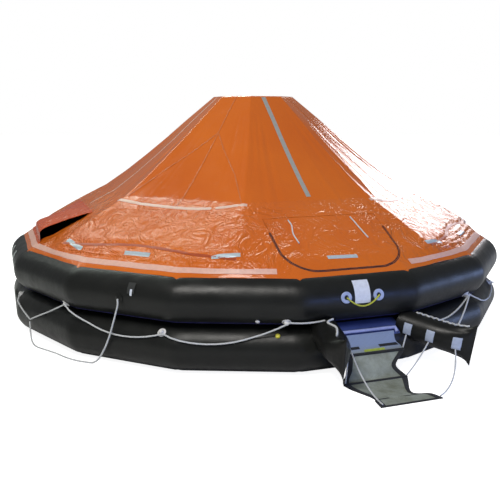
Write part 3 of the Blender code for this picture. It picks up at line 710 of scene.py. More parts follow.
def dropFaces(bm, azimuth, outline, within):
    back = panelFrame(azimuth).inverted()
    faces = []
    for face in bm.faces:
        spot = back @ face.calc_center_median()
        if (abs(spot.z) < 0.3 and inside(outline, spot.x, -spot.y)) == within:
            faces.append(face)
    bmesh.ops.delete(bm, geom=faces, context="FACES")


def paintCrumple(piece, share=1.0):
    layer = piece.data.attributes.new("crumple", "FLOAT", "POINT")
    shares = []
    for vert in piece.data.vertices:
        azimuth = math.degrees(math.atan2(vert.co.x, -vert.co.y))
        shares.append(share * crumpleShare(azimuth, vert.co.z))
    layer.data.foreach_set("value", shares)


def buildCanopy():
    low, middle, high = canopy["footZ"], canopy["gutterZ"], canopy["topZ"]
    skirt = gridMesh(canopy["around"], canopy["skirtRows"],
                     lambda u, v: canopyPoint(360 * u, mix(low, middle, v)), (15.0, 1.25))
    tent = gridMesh(canopy["around"], canopy["tentRows"],
                    lambda u, v: canopyPoint(360 * u, mix(middle, high, v)), (11.0, 1.65))
    for bm in (skirt, tent):
        bmesh.ops.remove_doubles(bm, verts=bm.verts, dist=1e-5)
    for azimuth, opening in ((0, doorway), (180, doorway), (-90, sideway), (90, sideway)):
        outline = roundedOutline(opening)
        cutAlong(skirt, azimuth, outline)
        dropFaces(skirt, azimuth, outline, True)
    top = [edge for edge in tent.edges if edge.is_boundary and edge.verts[0].co.z > high - 0.02]
    bmesh.ops.holes_fill(tent, edges=top, sides=0)
    pieces = []
    for name, bm in (("canopySkirt", skirt), ("canopyTent", tent)):
        piece = newPiece(name, thicken(bm, canopy["thickness"]), orangeCloth, "orange_cloth", stands=["canopy"],
                         sharpAngle=50)
        paintCrumple(piece)
        pieces.append(piece)
    return pieces


canopySkirt, canopyTent = buildCanopy()
print("canopy made")


# Door flaps, cut from the same cloth and sewn at their heads
door = {"inset": 0.004, "across": 90, "down": 66, "thickness": 0.005, "margin": 0.02}


def buildDoors():
    outline = roundedOutline(doorway, door["inset"])
    width = 2 * (doorway["halfWidth"] + door["margin"])
    top = doorway["head"] - door["margin"]
    drop = doorway["foot"] + door["margin"] - top
    flaps = {}
    for name, azimuth in entrances:
        bm = gridMesh(
            door["across"], door["down"],
            lambda u, v: panelPoint(azimuth, (u - 0.5) * width, top + (1 - v) * drop, -0.0006), (width, drop),
        )
        cutAlong(bm, azimuth, outline)
        dropFaces(bm, azimuth, outline, False)
        end = name.lower()
        piece = newPiece(f"doorFlap{name}", thicken(bm, door["thickness"]), orangeCloth, "orange_cloth",
                         f"door_{end}", [f"door_flap_{end}"], 50)
        paintCrumple(piece)
        flaps[name] = piece
    return flaps


# Side flaps: unzipped along one edge, where they gape over the opening
hood = {
    # across the panel, then down its slope: place and share of the full lift
    "across": ((-0.61, 0.0), (-0.56, 0.0), (-0.45, 0.12), (-0.3, 0.46), (-0.15, 0.82), (0.0, 1.0), (0.3, 1.04),
               (0.555, 1.0)),
    "down": ((0.375, 0.0), (0.40, 0.0), (0.43, 0.16), (0.50, 0.34), (0.60, 0.55), (0.75, 0.82), (0.87, 1.04),
             (0.94, 0.95), (0.975, 0.4), (1.005, 0.0), (1.03, 0.0)),
    "lift": 0.097, "seat": 0.0062, "thickness": 0.0045, "stations": 84, "rows": 60, "wrinkle": 0.007,
}


def hoodPoint(azimuth, x, down):
    raised = max(easedTable(hood["across"], x)[1], 0) * max(easedTable(hood["down"], down)[1], 0)
    spot = panelFrame(azimuth) @ Vector((x, -down, 0))
    waves = noise.noise(spot * 5) * 0.6 + noise.noise(Vector((x * 3, down * 14, azimuth))) * 0.4
    rise = hood["lift"] * raised + hood["wrinkle"] * waves * min(raised * 2, 1)
    return panelPoint(azimuth, x, down, rise + hood["seat"])


def buildHoods():
    left, right = hood["across"][0][0], hood["across"][-1][0]
    head, foot = hood["down"][0][0], hood["down"][-1][0]
    for name, azimuth in (("left", -90), ("right", 90)):
        bm = gridMesh(hood["stations"], hood["rows"],
                      lambda u, v: hoodPoint(azimuth, mix(left, right, u), mix(foot, head, v)), (1.16, 0.8))
        piece = newPiece(f"sideFlap{name.title()}", thicken(bm, hood["thickness"]), hoodCloth, "orange_cloth",
                         stands=[f"port_flap_{name}"], sharpAngle=55)
        paintCrumple(piece, 0.6)


doorFlaps = buildDoors()
buildHoods()
print("doors and side flaps made")


# Tapes, hems, zips and patches on the canopy
tapes = {
    "step": 0.02, "thickness": 0.0012, "lift": 0.0016,
    "gutter": {"width": 0.042, "path": ((-0.757, 0.064), (-0.314, 0.135), (0.281, 0.149), (0.74, 0.015))},
    "dart": ((0.0, -1.01), (0.17, -0.753), (0.442, -0.394), (0.672, 0.0)),
    # first and last azimuth from the entrance, then the two heights
    "hem": (13.6, 164.8, 0.899, 0.937),
    "foot": (0.0, 180.0, 0.869, 0.8975),
    # azimuth of the panel, x, down the slope, length, width, turn
    "reflectors": (
        (0, -0.033, 0.93, 0.30, 0.042, -2.0), (-45, -0.004, 0.927, 0.28, 0.05, 0), (-45, 0.86, 0.80, 0.26, 0.05, 22),
        (-45, -0.80, 0.845, 0.30, 0.05, -26), (45, -0.004, 0.927, 0.28, 0.05, 0),
        (45, 0.80, 0.845, 0.30, 0.05, 26), (45, -0.86, 0.80, 0.26, 0.05, -22),
    ),
    # the skirt's upper cloth ends in an edge on the panels between the entrances, with a dark strip painted just below
    # it as its shadow: half its reach, width
    "edge": (22.0, 0.016),
    # the ties start clear of the hinge, or they would cut the roof when the door is thrown back
    "ties": (((-0.357, 0.335), (-0.352, 0.42), (-0.385, 0.56), (-0.38, 0.704)),
             ((0.308, 0.335), (0.318, 0.42), (0.33, 0.55), (0.346, 0.683))),
    "tie": 0.0065, "tieLift": 0.009,
    "zip": {"width": 0.008, "offset": 0.007, "wave": 0.003, "top": 0.50},
}
canopyTrim = []
doorTrim = {"door_front": [], "door_rear": []}


def trim(piece, body):
    doorTrim.get(body, canopyTrim).append(piece)
    return piece


def ribbon(pointAt, path, width, waver=0.0, offset=0.0):
    # a flat strip: the path is in two flat directions, and pointAt lays it on its surface
    flat = [Vector((a, b, 0)) for a, b in path]
    length = routeLengths(flat)[-1]
    count = max(round(length / tapes["step"]), 4)
    even = evenRoute(flat, count)

    def place(u, v):
        index = round(u * count)
        direction = (even[min(index + 1, count)] - even[max(index - 1, 0)]).normalized()
        shift = offset + waver * noise.noise(Vector((index * tapes["step"] * 14, 3, 1))) + (v - 0.5) * width
        spot = even[index] + Vector((direction.y, -direction.x, 0)) * shift
        return pointAt(spot.x, spot.y, tapes["thickness"] * (1 if 0 < v < 1 else 0.35))

    return thicken(gridMesh(count, 4, place, (length, width)), tapes["thickness"])


def panelStrip(name, azimuth, path, width, material, slot, body="raft", **settings):
    bm = ribbon(lambda x, down, rise: panelPoint(azimuth, x, down, tapes["lift"] + rise), path, width, **settings)
    return trim(newPiece(name, bm, material, slot, body), body)


def buildPanelTapes():
    for index, azimuth in enumerate((-45, 45, 135, -135)):
        path = tapes["gutter"]["path"]
        if azimuth in (45, -135):
            path = [(-x, down) for x, down in reversed(path)]
        panelStrip(f"gutter{index + 1}", azimuth, smoothFlat(path), tapes["gutter"]["width"], gutterTape,
                   "orange_cloth")
        panelStrip(f"tentSeam{index + 1}", azimuth, ((0, -1.58), (0, 0.12)), 0.016, seamTape, "orange_cloth")
        for side in (-1, 1):
            panelStrip(f"tentDart{index + 1}.{side + 2}", azimuth, [(side * x, down) for x, down in tapes["dart"]],
                       0.014, seamTape, "orange_cloth")
    for name, azimuth in entrances:
        body = f"door_{name.lower()}"
        panelStrip(f"roofTape{name}", azimuth, ((-0.035, -1.575), (0.012, -0.05)), 0.05, silverTape, "pale_plastic")
        panelStrip(f"roofTapeSide{name}", azimuth + 90, ((0, -1.575), (0, 0.33)), 0.026, gutterTape, "pale_plastic")
        for index, tie in enumerate(tapes["ties"]):
            route = [panelPoint(azimuth, x, down, tapes["tieLift"]) for x, down in smoothFlat(tie)]
            trim(newPiece(f"doorTie{name}{index + 1}", tubeMesh(route, tapes["tie"], 8), whiteRope, "white_rope", body),
                 body)
        for index, (panel, x, down, length, width, turn) in enumerate(tapes["reflectors"]):
            reach = Vector((math.cos(math.radians(turn)), math.sin(math.radians(turn)))) * length / 2
            panelStrip(f"reflector{name}{index + 1}", azimuth + panel,
                       ((x - reach.x, down + reach.y), (x + reach.x, down - reach.y)), width, reflector,
                       "pale_plastic", "raft" if panel else body)


def buildZips():
    settings = tapes["zip"]
    foot = [point for point in roundedOutline(doorway, 0, 12) if point[1] > settings["top"]]
    path = [(-doorway["halfWidth"], settings["top"])]
    path += [point for point in foot if point[0] < 0] + [point for point in foot if point[0] > 0]
    path.append((doorway["halfWidth"], settings["top"]))
    for name, azimuth in entrances:
        for half, body, side in (("Door", f"door_{name.lower()}", 1), ("Canopy", "raft", -1)):
            panelStrip(f"zip{half}{name}", azimuth, path, settings["width"], zipTape, "black_webbing", body,
                       offset=side * settings["offset"], waver=settings["wave"])


def buildHems():
    # a pale band and an orange strip below it, round the foot of the canopy
    for name, start in entrances:
        for label, material in (("hem", hemTape), ("foot", orangeCloth)):
            first, last, low, high = tapes[label]

            def place(u, v):
                azimuth = start + mix(first, last, u)
                sag = 0.004 * noise.noise(Vector((azimuth * 0.2, 1, 2)))
                edge = tapes["thickness"] * (1 if 0 < v < 1 else 0.35)
                return canopyPoint(azimuth, mix(low, high, v) + sag, tapes["lift"] + edge)

            bm = thicken(gridMesh(300, 4, place, (8.0, high - low)), tapes["thickness"])
            piece = trim(newPiece(f"{label}Band{name}", bm, material, "orange_cloth"), "raft")
            if material == orangeCloth:
                paintCrumple(piece, 0.5)


# a dark orange strip just below the skirt's upper edge, painted as the shadow that the edge casts
def buildEdgeShadows():
    reach, width = tapes["edge"]
    for index, middle in enumerate((-45, 45, 135, -135)):
        def place(u, v):
            azimuth = middle + mix(-reach, reach, u)
            wander = noise.noise(canopySpot(azimuth, canopy["edgeZ"]) * 1.7)
            height = canopy["edgeZ"] + canopy["edgeRise"] * math.cos(math.radians(8 * azimuth)) + 0.012 * wander
            lift = tapes["lift"] + tapes["thickness"] * (1 if 0 < v < 1 else 0.35)
            return canopyPoint(azimuth, height - 0.014 + width * (v - 0.5), lift)

        bm = thicken(gridMesh(120, 4, place, (1.9, width)), tapes["thickness"])
        trim(newPiece(f"skirtEdgeShadow{index + 1}", bm, edgeShadowCloth, "orange_cloth"), "raft")


buildPanelTapes()
buildZips()
buildHems()
buildEdgeShadows()
print("tapes and zips made")


# Centre column, floor and ballast pockets
column = {
    "head": 2.4675, "steps": 64, "wrinkle": 0.004,
    # radius and height
    "foot": ((0.20, 0.0905), (0.226, 0.1025), (0.222, 0.14), (0.181, 0.24), (0.178, 0.49), (0.179, 1.2)),
    # radius and drop below the head
    "flare": ((0.178, 0.45), (0.195, 0.32), (0.235, 0.24), (0.354, 0.12), (0.372, 0.05), (0.35, 0.012), (0.335, 0.0)),
}
floorPad = {"thickness": 0.05, "top": 0.088, "radius": 2.44, "around": 96, "rings": 30, "dimple": 0.012,
            "pitch": 0.30}
pocket = {"top": 0.0292, "depth": 0.019, "cloth": 0.0015, "outline": ((0.296, 1.555), (0.372, 2.145)), "grid": 18}


def buildColumn():
    head = column["head"]
    profile = list(column["foot"]) + [(radius, head - drop) for radius, drop in column["flare"]]
    low = profile[0][1]
    bm = spinMesh([(0, low)] + smoothFlat(profile, 4) + [(0, head)], Matrix.Identity(4), column["steps"])
    for vert in bm.verts:
        gather = smoothStep(0.3, 0.0, vert.co.z - low) + smoothStep(0.5, 0.1, head - vert.co.z)
        angle = math.atan2(vert.co.y, vert.co.x)
        ripple = noise.noise(Vector((4 * math.cos(angle), 4 * math.sin(angle), vert.co.z * 0.8)))
        size = 1 - column["wrinkle"] * (1 - ripple) * gather / 0.2
        vert.co.x *= size
        vert.co.y *= size
    newPiece("centreColumn", bm, rubber, "black_rubber", stands=["centre_column"])


def buildFloor():
    def place(u, v):
        azimuth = 360 * u
        turn = math.radians(azimuth - segmentAzimuth(azimuth))
        spot = outward(azimuth) * (floorPad["radius"] * (1 - v) / math.cos(turn))
        waves = math.sin(spot.x * math.pi / floorPad["pitch"]) * math.sin(spot.y * math.pi / floorPad["pitch"])
        spot.z = floorPad["top"] - floorPad["dimple"] * (1 - abs(waves)) ** 3
        return spot

    bm = gridMesh(floorPad["around"], floorPad["rings"], place, (15.0, 2.4))
    bmesh.ops.remove_doubles(bm, verts=bm.verts, dist=1e-5)
    piece = newPiece("raftFloor", thicken(bm, floorPad["thickness"]), floorCloth, "floor_cloth", stands=["floor"])


def buildPockets():
    (innerHalf, innerReach), (outerHalf, outerReach) = pocket["outline"]
    for index in range(4):
        azimuth = 45 + 90 * index

        def place(u, v):
            half = mix(innerHalf, outerHalf, v)
            spot = along(azimuth) * ((2 * u - 1) * half) + outward(azimuth) * mix(innerReach, outerReach, v)
            folds = 0.5 + 0.5 * noise.noise(Vector((u * 5, v * 11, index)))
            edge = min(min(u, 1 - u, v, 1 - v) * 12, 1)
            spot.z = pocket["top"] - pocket["depth"] * edge * (0.55 + 0.45 * folds)
            return spot

        bm = thicken(gridMesh(pocket["grid"], pocket["grid"], place, (0.7, 0.6)), pocket["cloth"])
        piece = newPiece(f"ballastPocket{index + 1}", bm, floorCloth, "floor_cloth",
                         stands=[f"ballast_pocket_{index + 1}"])


buildColumn()
buildFloor()
buildPockets()
print("inside made")


# Ramp arms: inflated, with an upright weld seam at the tip
arm = {
    "radius": 0.128, "around": 44, "stations": 60, "wrinkle": 0.012,
    # share of the length, half the width and half the height in radii
    "sections": ((0.0, 1.0, 1.0), (0.25, 1.0, 1.0), (0.55, 1.0, 1.0), (0.72, 0.88, 1.03), (0.85, 0.62, 1.12),
                 (0.94, 0.32, 1.26), (0.985, 0.09, 1.46), (1.0, 0.05, 1.52)),
    "places": {"Right": ((0.485, 2.72, 0.382), (0.88, 3.276, 0.28)),
               "Left": ((-0.316, 2.72, 0.402), (-0.40, 3.32, 0.315))},
    "sleeve": 0.13, "gap": 0.0003,
}


def armPoint(side, share, angle, lift=0.0):
    base, tip = (Vector((x, -distance, height)) for x, distance, height in arm["places"][side])
    direction = (tip - base).normalized()
    across = Vector((-direction.y, direction.x, 0)).normalized()
    up = direction.cross(across)
    _, width, height = easedTable(arm["sections"], share)
    turn = math.radians(angle)
    folds = noise.noise(Vector((share * 2.5, 5.5 * math.sin(turn), len(side))))
    gather = smoothStep(0.55, 0.95, share) * arm["wrinkle"] * (folds - 0.5) * min(width * 2, 1)
    return (base.lerp(tip, share) + (across * math.cos(turn) * width + up * math.sin(turn) * height) * arm["radius"]
            + (across * math.cos(turn) + up * math.sin(turn)) * (gather + lift))


def buildArms():
    for name, angle in entrances:
        for side in arm["places"]:
            turn = halfTurn(angle)
            bm = gridMesh(arm["stations"], arm["around"], lambda u, v: turn @ armPoint(side, u, 360 * v), (0.7, 0.8))
            newPiece(f"rampArm{name}{side}", closeEnds(bm), armRubber, "black_rubber",
                     stands=[f"ramp_arm_{name.lower()}_{side.lower()}"], sharpAngle=60)


# Ropes, patches and ladder of the boarding ramp
ramp = {
    "rope": 0.0065, "ridgeRope": 0.0085, "strap": 0.010, "tie": 0.0075, "length": 0.69,
    "patches": ((0.17, 180), (0.48, 179), (0.82, 180)), "patch": (0.075, 0.105), "patchThickness": 0.003,
    # distance in front of the axis, height, left edge, right edge
    "sections": (
        (2.8287, 0.3463, -0.155, 0.345), (2.8625, 0.2647, -0.155, 0.345), (2.905, 0.185, -0.150, 0.40),
        (3.01, 0.09, -0.20, 0.26), (3.12, 0.0127, -0.285, 0.307), (3.42, 0.005, -0.19, 0.17),
        (3.50, 0.005, -0.20, 0.30), (3.62, 0.005, -0.214, 0.342),
    ),
    "rods": ((2, 0.0135), (4, 0.0115)), "cloth": 0.0035, "border": 0.028, "lowest": 0.0045,
    # section, then the edges from left to right
    "straps": ((1.35, 0.02, 0.24), (1.35, 0.62, 0.98), (5.45, 0.04, 0.30), (5.6, 0.62, 0.97)),
    "barPatch": ((-0.215, 0.405), 26, 74),
    "bar": {"radius": 0.015, "span": (-0.175, 0.365), "high": -0.019, "leg": 0.045},
}


def ladderPoint(run, across, lift=0.0):
    # run counts the sections, across goes from the left edge to the right one
    rows = [(index, *section) for index, section in enumerate(ramp["sections"])]
    _, distance, height, left, right = easedTable(rows, run)
    ahead = easedTable(rows, min(run + 0.05, len(rows) - 1))
    back = easedTable(rows, max(run - 0.05, 0))
    down = Vector((0, back[1] - ahead[1], ahead[2] - back[2])).normalized()
    waves = 0.0012 * noise.noise(Vector((across * 3, run * 1.7, 4)))
    spot = Vector((mix(left, right, across), -distance, max(height, ramp["lowest"])))
    return spot + Vector((0, down.z, -down.y)) * (lift + waves)


def ladderStrip(name, turn, runs, edges, material, slot, thickness=0.0055, count=30):
    # webbing on the ladder between two runs, edges(run) saying where its two edges lie
    def place(u, v):
        run = mix(*runs, v)
        left, right = edges(run)
        return turn @ ladderPoint(run, mix(left, right, u), 0.0014 if 0 < v < 1 else 0.0008)

    bm = gridMesh(8, count, place, (0.1, 0.3))
    return newPiece(name, thicken(bm, thickness), material, slot)


def buildLadders():
    last = len(ramp["sections"]) - 1
    width = [right - left for _, _, left, right in ramp["sections"]]
    for name, angle in entrances:
        turn = halfTurn(angle)
        bm = gridMesh(30, 120, lambda u, v: turn @ ladderPoint((1 - v) * last, u), (0.5, 1.05))
        cloth = newPiece(f"ladderCloth{name}", thicken(bm, ramp["cloth"]), ladderMesh, "grey_mesh",
                         stands=[f"boarding_ladder_{name.lower()}"])
        # the share of painted blue light on the cloth, rising with its height where it hangs
        layer = cloth.data.attributes.new("blueLightShare", "FLOAT", "POINT")
        layer.data.foreach_set("value", [smoothStep(0.17, 0.26, vert.co.z) for vert in cloth.data.vertices])
        for index, (section, radius) in enumerate(ramp["rods"]):
            distance, height, left, right = ramp["sections"][section]
            route = [turn @ Vector((mix(left - 0.012, right + 0.012, part / 12), -distance, height + 0.001))
                     for part in range(13)]
            newPiece(f"ladderRod{name}{index + 1}", tubeMesh(route, radius, 14), blackWeb,
                                  "black_webbing")
        for index, runs in enumerate(((3.95, 2.05), (last, 4.05))):
            share = ramp["border"] / min(width[2:])
            for side, edges in (("Left", (-0.02, share)), ("Right", (1 - share, 1.02))):
                ladderStrip(f"ladderBorder{name}{side}{index + 1}", turn, runs, lambda run: edges,
                                         blackWeb, "black_webbing")
        ladderStrip(f"ladderHem{name}", turn, (last, last - 0.27), lambda run: (0, 1), blackWeb,
                                 "black_webbing", count=6)
        ladderStrip(f"ladderMark{name}", turn, (1.83, 1.61), lambda run: (0.3, 0.68), yellowWeb,
                                 "yellow_webbing", 0.0016, 5)
        for index, (run, left, right) in enumerate(ramp["straps"]):
            ladderStrip(f"ladderStrap{name}{index + 1}", turn, (run + 0.14, run - 0.14),
                                     lambda run: (left, right), blackWeb, "black_webbing", 0.0016, 5)


def buildRampRopes():
    for name, angle in entrances:
        turn = halfTurn(angle)
        arc = math.degrees(ramp["patch"][1] / arm["radius"])
        starts = []
        for index, (share, side) in enumerate(ramp["patches"]):
            def place(u, v):
                edge = ramp["patchThickness"] * (1 if 0 < u < 1 and 0 < v < 1 else 0.3)
                return turn @ armPoint("Right", share + (u - 0.5) * ramp["patch"][0] / ramp["length"],
                                       side - (v - 0.5) * arc, edge + 0.001)

            bm = thicken(gridMesh(8, 10, place, ramp["patch"]), ramp["patchThickness"])
            newPiece(f"armPatch{name}{index + 1}", bm, patchRubber, "pale_plastic")
            starts.append(armPoint("Right", share, side + 24, 0.011))
        left = armPoint("Left", 0.55, -15, 0.008)
        right, middle, end = starts
        routes = [
            (sagged(right, Vector((0.40, -2.908, 0.205)), 0.012, 12, Vector((-0.01, -0.008, 0))), "rope"),
            (sagged(middle, Vector((0.312, -3.125, 0.030)), 0.02, 16), "rope"),
            (sagged(end, Vector((0.335, -3.60, 0.018)), 0.05, 18, Vector((0.03, -0.03, 0))), "rope"),
            (sagged(left, Vector((-0.288, -3.125, 0.030)), 0.03, 16), "rope"),
            (sagged(left + Vector((0.004, 0, 0.012)), Vector((-0.20, -3.60, 0.020)), 0.07, 18), "rope"),
            # a twisted rope along the top of the right arm, and a strap along the left one
            ([armPoint("Right", mix(0.19, 0.9, part / 32), 90 + 5 * math.sin(part * 1.9), 0.007) for part in range(33)],
             "ridgeRope"),
            (smoothRoute([armPoint("Left", share, side, 0.007) for share, side in
                          ((0.12, 62), (0.27, 96), (0.42, 78), (0.56, 84), (0.70, 98))], 6), "strap"),
            # from the last patch of each side's lifeline to the top of the arm beside it
            (sagged(ringPoint(-13.3, ropeOffset(lifeline["high"]), lifeline["high"]),
                    armPoint("Left", 0.2, 100, 0.008), 0.012, 12), "tie"),
            (sagged(ringPoint(29.8, ropeOffset(lifeline["high"]) + 0.002, lifeline["high"] - 0.01),
                    armPoint("Right", 0.74, 70, 0.008), 0.03, 14), "tie"),
        ]
        for index, (route, size) in enumerate(routes):
            newPiece(f"rampRope{name}{index + 1}", tubeMesh([turn @ point for point in route], ramp[size], 8), whiteRope,
                     "white_rope")


def buildBars():
    bar = ramp["bar"]
    left, right = bar["span"]
    high, low = bar["high"], bar["high"] - bar["leg"]
    corners = (
        (left, low), (left, high - 0.02), (left + 0.006, high - 0.006), (left + 0.02, high),
        (mix(left, right, 0.5), high), (right - 0.02, high), (right - 0.006, high - 0.006), (right, high - 0.02),
        (right, low),
    )
    for name, angle in entrances:
        seat = halfTurn(angle) @ tubeSeat(0, raft["lowerZ"], 45, bar["radius"] + 0.0003)
        route = smoothRoute([seat @ Vector((x, y, 0)) for x, y in corners], 6)
        newPiece(f"boardingBar{name}", tubeMesh(route, bar["radius"] - 0.0006, 16), blueBar, "pale_blue_bar",
                 stands=[f"boarding_bar_{name.lower()}"])


def buildBarPatches():
    # the broad rubber patch behind each bar
    span, low, high = ramp["barPatch"]
    for name, angle in entrances:
        turn = halfTurn(angle)

        def place(u, v):
            rise = math.radians(mix(low, high, v))
            reach = raft["radius"] + 0.0008
            return turn @ Vector((mix(*span, u), -(raft["apothem"] + reach * math.cos(rise)),
                                  raft["lowerZ"] + reach * math.sin(rise)))

        newPiece(f"barPatch{name}", thicken(gridMesh(12, 12, place, (0.6, 0.2)), 0.0016), barPatch, "pale_plastic")


buildArms()
buildLadders()
buildBarPatches()
buildBars()
print("ramps made")


# Lifelines with their patches
lifeline = {
    "radius": 0.008, "sag": 0.12, "reach": 0.172, "clear": 0.006, "high": 0.5044, "low": 0.3756,
    "patch": 0.041, "depth": 0.033, "knot": (-71.6, 0.223, 0.0), "tubeCorner": 0.2243, "steps": 14,
    # azimuth of each patch, and whether it sits on the lower tube
    "places": {
        "left": ((-80.8, True), (-58.3, False), (-35.8, True), (-13.3, False)),
        "right": ((29.8, False), (54.2, True), (76.7, False)),
    },
    "armTie": 0.5, "armSag": 0.05,
}


def ropeOffset(height):
    surface = 0.0
    if height < 2 * raft["radius"]:
        surface = math.sqrt(max(lifeline["tubeCorner"] ** 2 - (height - raft["lowerZ"]) ** 2, 0))
    return max(surface, lifeline["reach"]) + lifeline["radius"] + lifeline["clear"]


def armLine(end):
    base, tip = (Vector((x, -distance, height)) for x, distance, height in arm["places"]["Right"])
    outer = Vector((base.y - tip.y, tip.x - base.x, 0)).normalized()
    reach = (arm["sleeve"] + lifeline["radius"] + arm["gap"]) * math.sin(math.radians(45))
    start = base.lerp(tip, lifeline["armTie"]) + outer * reach + Vector((0, 0, reach + lifeline["clear"]))
    return sagged(start, end, lifeline["armSag"], 8)[:-1]


def lifelineRoute(name, side):
    # each stop has its azimuth, its height and the sag of the span after it
    stops = [(azimuth, lifeline["low"] if low else lifeline["high"], lifeline["sag"])
             for azimuth, low in lifeline["places"][side]]
    points = []
    if side == "right":
        azimuth, height, _ = stops[0]
        points = armLine(ringPoint(azimuth, ropeOffset(height), height))
    elif name == "Front":
        stops[:1] = [(*stops[0][:2], 0.0), lifeline["knot"]]
    for (azimuth, height, sag), (nextAzimuth, nextHeight, _) in zip(stops, stops[1:]):
        for part in range(lifeline["steps"]):
            share = part / lifeline["steps"]
            level = mix(height, nextHeight, share) - sag * 4 * share * (1 - share)
            points.append(ringPoint(mix(azimuth, nextAzimuth, share), ropeOffset(level), level))
    points.append(ringPoint(nextAzimuth, ropeOffset(nextHeight), nextHeight))
    return points


def buildLifelines():
    size, depth = lifeline["patch"], lifeline["depth"]
    profile = ((0, 0), (size, 0), (size, 0.0035), (size * 0.62, 0.0055), (size * 0.5, depth * 0.55),
               (size * 0.34, depth * 0.92), (0, depth))
    for name, angle in entrances:
        turn = halfTurn(angle)
        for side, places in lifeline["places"].items():
            route = [turn @ point for point in lifelineRoute(name, side)]
            newPiece(f"lifeline{name}{side.title()}", tubeMesh(route, lifeline["radius"] - 0.0004, 10), whiteRope,
                     "white_rope", stands=[f"lifeline_{name.lower()}_{side}"])
            for index, (azimuth, low) in enumerate(places):
                seat = turn @ tubeSeat(azimuth, raft["lowerZ" if low else "upperZ"], 45 if low else -45, 0.0003)
                newPiece(f"lifelinePatch{name}{side.title()}{index + 1}", spinMesh(profile, seat, 28), whiteTape,
                         "pale_plastic")


buildLifelines()
buildRampRopes()
print("lifelines made")


# Fittings on the tubes
bridle = {"azimuth": 3.45, "radius": 0.052, "depth": 0.008, "rope": 0.007, "sag": 0.085, "rise": 11.25}
card = {"width": 0.153, "from": -4, "to": 50, "thickness": 0.002, "reach": 0.2249}
tags = ((-42.0, 0.075, 14, 40, "clearTag"), (-41.9, 0.022, 10, 24, "cardFace"))
valves = (
    ("inflationValve", "inflation_valve", -14.9, "lowerZ", 45,
     ((0, 0), (0.022, 0), (0.022, 0.004), (0.0185, 0.007), (0.0165, 0.012), (0.013, 0.0137), (0.006, 0.0127), (0, 0.0127)),
     "yellow_line"),
    ("reliefValve", "relief_valve", -18.7, "upperZ", -45,
     ((0, 0), (0.020, 0), (0.020, 0.003), (0.017, 0.006), (0.0155, 0.010), (0.011, 0.0117), (0, 0.0117)),
     "pale_plastic"),
    ("looseLinePatch", "side_rope_patch", looseLine["patchAzimuth"], "upperZ", 0,
     ((0, 0), (0.039, 0), (0.039, 0.004), (0.03, 0.007), (0.012, 0.018), (0, 0.019)), "pale_plastic"),
)
cylinder = {"azimuth": 157.5, "radius": 0.09, "length": 0.95, "strap": 0.05, "strapThickness": 0.006,
            "levels": (-0.25, 0.22)}


def buildBridles():
    half = raft["apothem"] * math.tan(math.radians(bridle["azimuth"]))
    size, depth = bridle["radius"], bridle["depth"]
    for name, angle in entrances:
        seat = halfTurn(angle) @ tubeSeat(0, raft["upperZ"], bridle["rise"], 0.0044)
        for side, x in (("Left", -half), ("Right", half)):
            place = seat @ Matrix.Translation((x, 0, 0))
            ring = ((0, -0.004), (size, -0.004), (size, 0.003), (size * 0.92, depth - 0.001), (0.026, depth - 0.0015),
                    (0.021, depth * 0.4), (0, depth * 0.4))
            newPiece(f"bridleDisc{name}{side}", spinMesh(ring, place, 36), discPlastic, "pale_plastic",
                     stands=[f"bridle_disc_{name.lower()}_{side.lower()}"], sharpAngle=30)
            eye = ((0, depth * 0.41), (0.0205, depth * 0.41), (0.015, depth * 0.7), (0.007, depth * 0.9),
                   (0, depth * 0.95))
            newPiece(f"bridleEye{name}{side}", spinMesh(eye, place, 24), blackWeb, "black_webbing")
        lift = depth + 0.0003 + bridle["rope"]
        flat = sagged(Vector((-half, 0, lift)), Vector((half, 0, lift)), 0, 24, Vector((0, -bridle["sag"], 0)))
        newPiece(f"bridleLine{name}", tubeMesh([seat @ point for point in flat], bridle["rope"] - 0.0005, 10), yellowLine,
                 "yellow_line", stands=[f"bridle_line_{name.lower()}"])


def tubeLabelMesh(azimuth, width, low, high, lift=0.0):
    def place(u, v):
        rise = math.radians(mix(low, high, v))
        curl = 0.0018 * math.sin(v * math.pi) * (2 * u - 1) ** 2
        reach = card["reach"] + card["thickness"] + curl + lift
        spot = ringPoint(azimuth, reach * math.cos(rise), raft["upperZ"] + reach * math.sin(rise))
        return spot + along(segmentAzimuth(azimuth)) * ((u - 0.5) * width)

    return thicken(gridMesh(10, 24, place, (width, 0.2)), card["thickness"])


def buildCards():
    newPiece("instructionCard", tubeLabelMesh(0, card["width"], card["from"], card["to"]), cardFace, "pale_plastic",
             stands=["instruction_card"])
    finishes = {"clearTag": clearTag, "cardFace": cardFace}
    for index, (azimuth, width, low, high, finish) in enumerate(tags):
        newPiece(f"sideTag{index + 1}", tubeLabelMesh(azimuth, width, low, high, 0.0024 * index), finishes[finish],
                 "pale_plastic")


def buildValves():
    colours = {"inflationValve": yellowCap, "reliefValve": whiteTape, "looseLinePatch": rubber}
    for name, node, azimuth, tube, rise, profile, slot in valves:
        newPiece(name, spinMesh(profile, tubeSeat(azimuth, raft[tube], rise, 0.0003), 28), colours[name], slot,
                 stands=[node])


